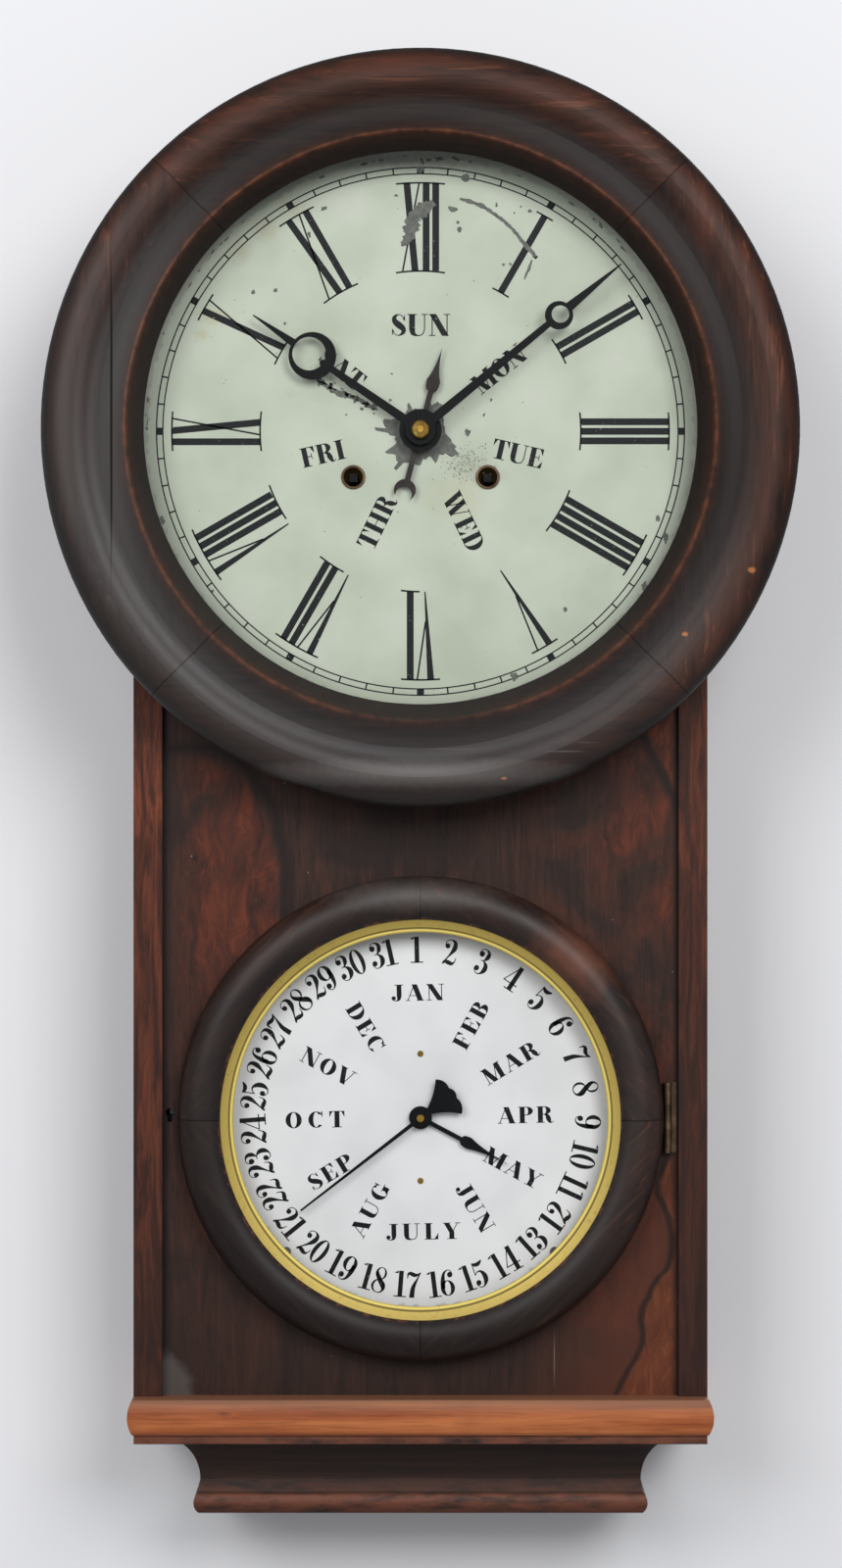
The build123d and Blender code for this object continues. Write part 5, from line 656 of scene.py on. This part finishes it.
def write(bm, text, cap, gap, place, stretch=1.0):
    """Writes a word centred on its place, with capitals of a given height. A nine is a turned six."""
    signs = ["6" if character == "9" else character for character in text]
    start = -(sum(LETTERS[sign][0] for sign in signs) * cap * stretch + gap * (len(text) - 1)) / 2
    for character, sign in zip(text, signs):
        width, *strokes = LETTERS[sign]
        scale = Matrix.Diagonal((cap * stretch, cap, 1, 1))
        letter = place @ Matrix.Translation((start, -cap / 2, 0)) @ scale
        if character == "9":
            letter = letter @ Matrix.Translation((width, 1, 0)) @ Matrix.Rotation(math.pi, 4, "Z")
        for draw, *sizes in strokes:
            draw(bm, letter, *sizes)
        start += width * cap * stretch + gap


def dial_plan(x, face, z, proud):
    """Gives the place of a dial's middle: millimetres, x to the right and y up, on its face."""
    return (Matrix.Translation((x, face - proud * MM, z)) @ Matrix.Rotation(math.pi / 2, 4, "X")
            @ Matrix.Scale(MM, 4))


def at_turn(plan, turn, radius=0.0, lie="out"):
    """Gives a place on a dial at a turn and radius, for letters whose tops point the given way.

    Out and in are from and to the middle. Outward and inward words are read along the radius.
    """
    lay = {"out": 0.0, "in": math.pi, "outward": math.pi / 2, "inward": -math.pi / 2}[lie]
    return (plan @ Matrix.Rotation(-turn, 4, "Z") @ Matrix.Translation((0, radius, 0))
            @ Matrix.Rotation(lay, 4, "Z"))


def arc(bm, plan, inner, outer, start, end, steps):
    """Draws a line of the dial's circle between two turns."""
    put = at_turn(plan, start)
    edge = bm.edges.new([bm.verts.new(put @ Vector((0, radius, 0))) for radius in (inner, outer)])
    bmesh.ops.spin(bm, geom=[edge, *edge.verts], cent=plan.translation, axis=(0, 1, 0), angle=end - start,
                   steps=steps, use_merge=end - start == math.tau)


def placed(name, data):
    """Puts an object with its data into the scene."""
    made = bpy.data.objects.new(name, data)
    bpy.context.scene.collection.objects.link(made)
    return made


def meshed(bm, name, finish):
    """Makes an object of a finished shape."""
    mesh = bpy.data.meshes.new(name)
    bm.to_mesh(mesh)
    bm.free()
    mesh.materials.append(finish)
    return placed(name, mesh)


def kept(bm, name, finish, body):
    """Makes a piece of flat strokes that face the front, and lets it ride on a body."""
    bm.normal_update()
    bmesh.ops.reverse_faces(bm, faces=[face for face in bm.faces if face.normal.y > 0])
    piece = meshed(bm, name, finish)
    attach(piece, body)


# Hour numerals, tops outward, between two concentric hairlines. The V's thin leg meets its stem short
# of the foot, and the X's thick leg ends inside its thin one
INK_PROUD, FLAKE_PROUD = 0.02, 0.04
INNER, OUTER, THICK, THIN, SPACE, LAP = 86.4, 133.9, 3.7, 0.95, 1.45, 3.2
V_FOOT, V_MEETS, X_INSET, HAIRLINE_STEPS = (-0.2, 0.5), 16, 0.8, 10
SPANS = {"I": THICK, "V": 9.6, "X": 9.8}
plan = dial_plan(HAND_X, TIME_FACE, HAND_Z, INK_PROUD)
bm = bmesh.new()
for hour, numeral in enumerate("XII I II III IIII V VI VII VIII IX X XI".split()):
    turn = math.radians(30 * hour)
    put = at_turn(plan, turn)
    wide = sum(SPANS[c] for c in numeral) + SPACE * (len(numeral) - 1)
    left = -wide / 2
    inner_ends = []
    for character in numeral:
        span = SPANS[character]
        mid, right = left + span / 2, left + span
        if character == "I":
            slope(bm, put, mid, INNER, mid, OUTER, THICK)
            inner_ends += [left, right]
        elif character == "V":
            apex = [(mid + off, INNER) for off in V_FOOT]
            wedge(bm, put, *apex, (left + THICK, OUTER), (left, OUTER))
            slope(bm, put, apex[0][0], INNER + V_MEETS, right - THIN / 2, OUTER, THIN)
        else:
            slope(bm, put, right - THICK / 2 - X_INSET, INNER, left + THICK / 2 + X_INSET, OUTER, THICK)
            slope(bm, put, left + THIN / 2, INNER, right - THIN / 2, OUTER, THIN)
            inner_ends += [left, right]
        left = right + SPACE
    for radius, ends in ((OUTER, [-wide / 2, wide / 2]), (INNER, inner_ends)):
        if ends:
            arc(bm, plan, radius - THIN / 2, radius + THIN / 2, turn + (min(ends) - LAP) / radius,
                turn + (max(ends) + LAP) / radius, HAIRLINE_STEPS)
# Minute track, with a block at each five minutes
TRACK, HALF_LINE, HALF_TICK, HALF_BLOCK, CIRCLE_STEPS = (138.8, 142.2), 0.36, 0.42, 1.95, 180
for radius in TRACK:
    arc(bm, plan, radius - HALF_LINE, radius + HALF_LINE, 0, math.tau, CIRCLE_STEPS)
for minute in range(60):
    half = HALF_TICK if minute % 5 else HALF_BLOCK
    bar(bm, at_turn(plan, math.tau * minute / 60), -half, TRACK[0], half, TRACK[1])
# Days of the week, each with the height of its capitals and its radius
SUNDAY, WEEKDAY, WEEKDAY_GAP = (11.8, 57.3), (10.5, 54.0), 0.1
for day, word in enumerate(("SUN", "MON", "TUE", "WED", "THR", "FRI", "SAT")):
    lie = "out" if day == 0 else "outward" if day < 4 else "inward"
    cap, out = SUNDAY if day == 0 else WEEKDAY
    write(bm, word, cap, WEEKDAY_GAP, at_turn(plan, math.tau * day / 7, out, lie))
kept(bm, "time_dial_lettering", time_ink, "case")

# Days of the month and the months, printed a little askew
ASKEW = math.radians(-1.3)
DATE_CAP, DATE_GAP, DATE_OUT, DATE_STRETCH = 14.2, -0.5, 91.0, 0.93
MONTH_CAP, MONTH_STRETCH, MONTH_GAP = 8.9, 1.12, 1.3
WIDER_GAPS = {"OCT": 3.0, "JULY": 2.2}
MONTH_OUT = {"out": 67.8, "in": 62.0, "outward": 57.2, "inward": 57.2}
plan = dial_plan(DATE_X, DATE_FACE, DATE_Z, INK_PROUD)
bm = bmesh.new()
for day in range(1, 32):
    lie = "in" if 12 <= day <= 21 else "out"
    put = at_turn(plan, math.tau * (day - 1) / 31 + ASKEW, DATE_OUT, lie)
    write(bm, str(day), DATE_CAP, DATE_GAP, put, DATE_STRETCH)
MONTHS = "JAN FEB MAR APR MAY JUN JULY AUG SEP OCT NOV DEC".split()
for month, word in enumerate(MONTHS):
    lie = "out" if month == 0 else "in" if month == 6 else "outward" if month < 6 else "inward"
    put = at_turn(plan, math.tau * month / 12 + ASKEW, MONTH_OUT[lie], lie)
    write(bm, word, MONTH_CAP, WIDER_GAPS.get(word, MONTH_GAP), put, MONTH_STRETCH)
kept(bm, "calendar_dial_lettering", date_ink, "case")

# Flaked places of the time dial, where the paint has left the zinc bare
plan = dial_plan(HAND_X, TIME_FACE, HAND_Z, FLAKE_PROUD)
SPECKS, STRIP_FLAKES, PEPPER, RING_CHIPS = 40, 34, 150, 30
chance = random.Random(7)
bm = bmesh.new()


def flake(x, z, half, tall, lean=0.0, count=16):
    """Lays one jagged flake on the time dial."""
    spread = Matrix.Diagonal((half, tall, 1, 1))
    put = plan @ Matrix.Translation((x, z, 0)) @ Matrix.Rotation(lean, 4, "Z") @ spread
    for vert in bmesh.ops.create_circle(bm, cap_ends=True, segments=count, radius=1.0)["verts"]:
        vert.co = put @ (vert.co * chance.uniform(0.6, 1.15))


# The bared patch round the hands, as turns from the top and reaches
rim = ((0, 12), (20, 16), (30, 18.5), (40, 19.5), (46, 20), (58, 15), (75, 13), (90, 13.8), (105, 17),
       (113, 21), (121, 23.5), (126, 22), (132, 18.5), (141, 16.5), (151, 19), (158, 14.5), (170, 15.5),
       (180, 19), (193, 17.6), (204, 19), (212, 25), (216, 20), (226, 19), (236, 21.5), (243, 14.5),
       (254, 14), (263, 17), (271, 25), (275, 19.5), (285, 20.5), (292, 16), (298, 12.5), (312, 12),
       (325, 13), (334, 16.4), (341, 12.6))
spots = []
for turn, out in rim:
    for step in (0, 4):
        angle, far = math.radians(turn + step), out * chance.uniform(0.95, 1.05)
        spots.append((far * math.sin(angle), far * math.cos(angle)))
drawn_out(bm, plan, [((x, z), (x * 0.3, z * 0.3)) for x, z in spots + spots[:1]])
# The torn patch across the twelve, the long scratch past the one, and the strip under the hour hand
cracks = (
    ((7.3, 123.4, 3.5), (3.5, 120.5, 7.5), (-2.5, 116.5, 8.6), (-5, 110.5, 8.2), (-6, 105, 7.6),
     (-9.2, 101, 3.4), (-10, 99.6, 1)),
    ((21.2, 125.3, 1.4), (26, 124, 2.2), (33, 121.4, 2.4), (39, 117.6, 1.8), (44.7, 113.4, 2),
     (50, 108.4, 1.8), (54.5, 103, 2.2), (61.6, 94.5, 2.6), (62.2, 93.6, 2)),
    ((60, 92.4, 0.8), (58.4, 87.5, 1.6), (57, 84.6, 1.2), (56, 81.8, 0.7)),
    ((-56, 27.5, 0.8), (-52, 25.5, 2.6), (-46, 21.5, 3.2), (-40, 19.5, 3.6), (-34, 17.5, 3), (-28, 14, 2.4),
     (-23, 11.6, 1)),
)
for knots in cracks:
    pen(bm, plan, knots, steps=7, shake=chance)
# Single flakes: place, half width and half height
flakes = (
    (17.3, 119.6, 2.6, 2), (20.2, 112.6, 1.2, 1.2), (21, 108.6, 1.3, 1.8), (24.6, 136.8, 2.7, 2.4),
    (41, 122, 0.8, 1.4), (59, 118.6, 1.4, 1), (54, 121, 0.6, 0.6), (50.5, 117.6, 0.5, 0.8),
    (44.6, 89.8, 0.9, 1), (48.4, 90, 0.9, 1), (-13, 127, 1.2, 0.7), (0, 141, 2.2, 2.4),
    (0.8, 145.5, 0.9, 2.6), (4.4, 146.2, 1.4, 1.2), (9.5, 146.4, 1.2, 1), (25.4, -0.6, 1.9, 2.2),
    (38, 17, 0.8, 1), (34.2, 8.8, 0.6, 1.4), (-16.3, 16.8, 1, 1), (-40, 9, 0.6, 0.6), (-15.5, 31, 0.8, 0.6),
    (-52, 120, 1.9, 1.4), (-60, 106, 1, 1.8), (-90, 75, 1.2, 1.4), (-78, 76, 1.1, 1.6), (-73, 58, 0.9, 0.9),
    (-30, 21, 0.7, 0.7), (128, -47, 1.5, 1.9), (132, -57, 1.8, 4), (121, -84, 2, 3.6), (78, -96, 1.4, 1.5),
    (50.5, -132, 2, 2.6), (-139, -48, 1.4, 3), (-112, -86, 1, 1), (22, -52, 0.5, 0.6),
)
for x, z, half, tall in flakes:
    flake(x, z, half, tall, chance.uniform(-0.4, 0.4))
# Specks all over the dial
for _ in range(SPECKS):
    turn, out = chance.uniform(0, math.tau), chance.uniform(26, 145)
    half, tall = chance.uniform(0.2, 0.5), chance.uniform(0.2, 0.5)
    flake(out * math.sin(turn), out * math.cos(turn), half, tall, count=7)
# Flakes that widen the strip under the hour hand
for _ in range(STRIP_FLAKES):
    along = chance.uniform(0, 1)
    x, z = -56 + 33 * along + chance.gauss(0, 1.2), 27.5 - 16 * along + chance.gauss(0, 1.6)
    flake(x, z, chance.uniform(0.4, 1.7), chance.uniform(0.3, 1.1), lean=-0.4, count=11)
# Peppered paint between the hands and the right winding hole
for _ in range(PEPPER):
    x, z = chance.gauss(25, 6), chance.gauss(-17, 5)
    flake(x, z, chance.uniform(0.2, 0.5), chance.uniform(0.2, 0.5), count=6)
# Chips along the ring
for _ in range(RING_CHIPS):
    turn, out = chance.uniform(-1.7, 0.9), chance.uniform(146.8, 148.4)
    half, tall = chance.uniform(0.6, 2.4), chance.uniform(0.3, 0.9)
    flake(out * math.sin(turn), out * math.cos(turn), half, tall, lean=-turn, count=12)
kept(bm, "time_dial_flakes", zinc, "case")

# Wall and floor, in matt emulsion paint, rolled: a fine stipple. The wall is solid only to a camera in
# front of it, so that light reaches the clock's back
paint, shader, place = new_finish("emulsion paint, rolled, pale grey", Base_Color="#E4E4E6", Roughness=0.9)
stipple = add(paint, "TexNoise", {"Vector": place, "Scale": 1 / (3 * MM), "Detail": 3.0})
rolled = add(paint, "Bump", {"Height": stipple, "Strength": 0.05, "Distance": 0.1 * MM})
plug(paint, shader, {"Normal": rolled})
front = add(paint, "Math", {0: add(paint, "LightPath", {}).outputs["Is Camera Ray"],
                            1: add(paint, "NewGeometry", {}).outputs["Backfacing"]}, operation="SUBTRACT")
clear = add(paint, "BsdfTransparent", {})
plug(paint, paint.node_tree.nodes["Material Output"],
     {"Surface": add(paint, "MixShader", {0: front, 1: clear, 2: shader})})

WALL_Y, WALL_TOP, WALL_HALF, FLOOR_Z, FLOOR_FRONT, CORNER = 0.004, 1.6, 3.0, -1.9, -4.0, 0.4
bm = bmesh.new()
rail = bm.edges.new([bm.verts.new((x, WALL_Y, WALL_TOP)) for x in (-WALL_HALF, WALL_HALF)])
corner = None
for y, z in ((WALL_Y, FLOOR_Z), (FLOOR_FRONT, FLOOR_Z)):
    made = bmesh.ops.extrude_edge_only(bm, edges=[rail])["geom"]
    corner, rail = rail, next(part for part in made if isinstance(part, bmesh.types.BMEdge))
    for vert in rail.verts:
        vert.co.y, vert.co.z = y, z
bmesh.ops.bevel(bm, geom=[corner], offset=CORNER, segments=12, profile=0.5, affect="EDGES", material=-1)
bm.normal_update()
bmesh.ops.reverse_faces(bm, faces=[face for face in bm.faces if face.normal.y - face.normal.z > 0])
for face in bm.faces:
    face.smooth = True
wall = meshed(bm, "wall_and_floor", paint)


def lamp(name, place, target, size, power):
    """Sets a soft square lamp that looks at a target."""
    light = bpy.data.lights.new(name, "AREA")
    light.energy, light.size = power, size
    held = placed(name, light)
    held.location = place
    held.rotation_euler = (Vector(target) - Vector(place)).to_track_quat("-Z", "Y").to_euler()


lamp("right_window", place=(1.0, -2.65, 0.85), target=(0, -0.1, -0.35), size=1.3, power=45)
lamp("left_fill", place=(-1.35, -2.5, 0.75), target=(0, 0, -0.35), size=1.5, power=37)
lamp("back_fill", place=(0.5, 2.4, 0.5), target=(0, 0, -0.35), size=1.5, power=24)

world = bpy.data.worlds.new("soft room")
bpy.context.scene.world = world
world.use_nodes = True
room = world.node_tree.nodes["Background"].inputs
room["Color"].default_value = linear("#E8EAEE")
room["Strength"].default_value = 0.46

lens = bpy.data.cameras.new("camera")
lens.sensor_fit = "VERTICAL"
lens.sensor_height = 24.0
lens.lens = 56.82
camera = placed("camera", lens)
camera.location = (0.0003, -2.107, -0.330)
camera.rotation_euler = (math.pi / 2, 0, 0)
bpy.context.scene.camera = camera
bpy.context.scene.view_settings.view_transform = "Standard"
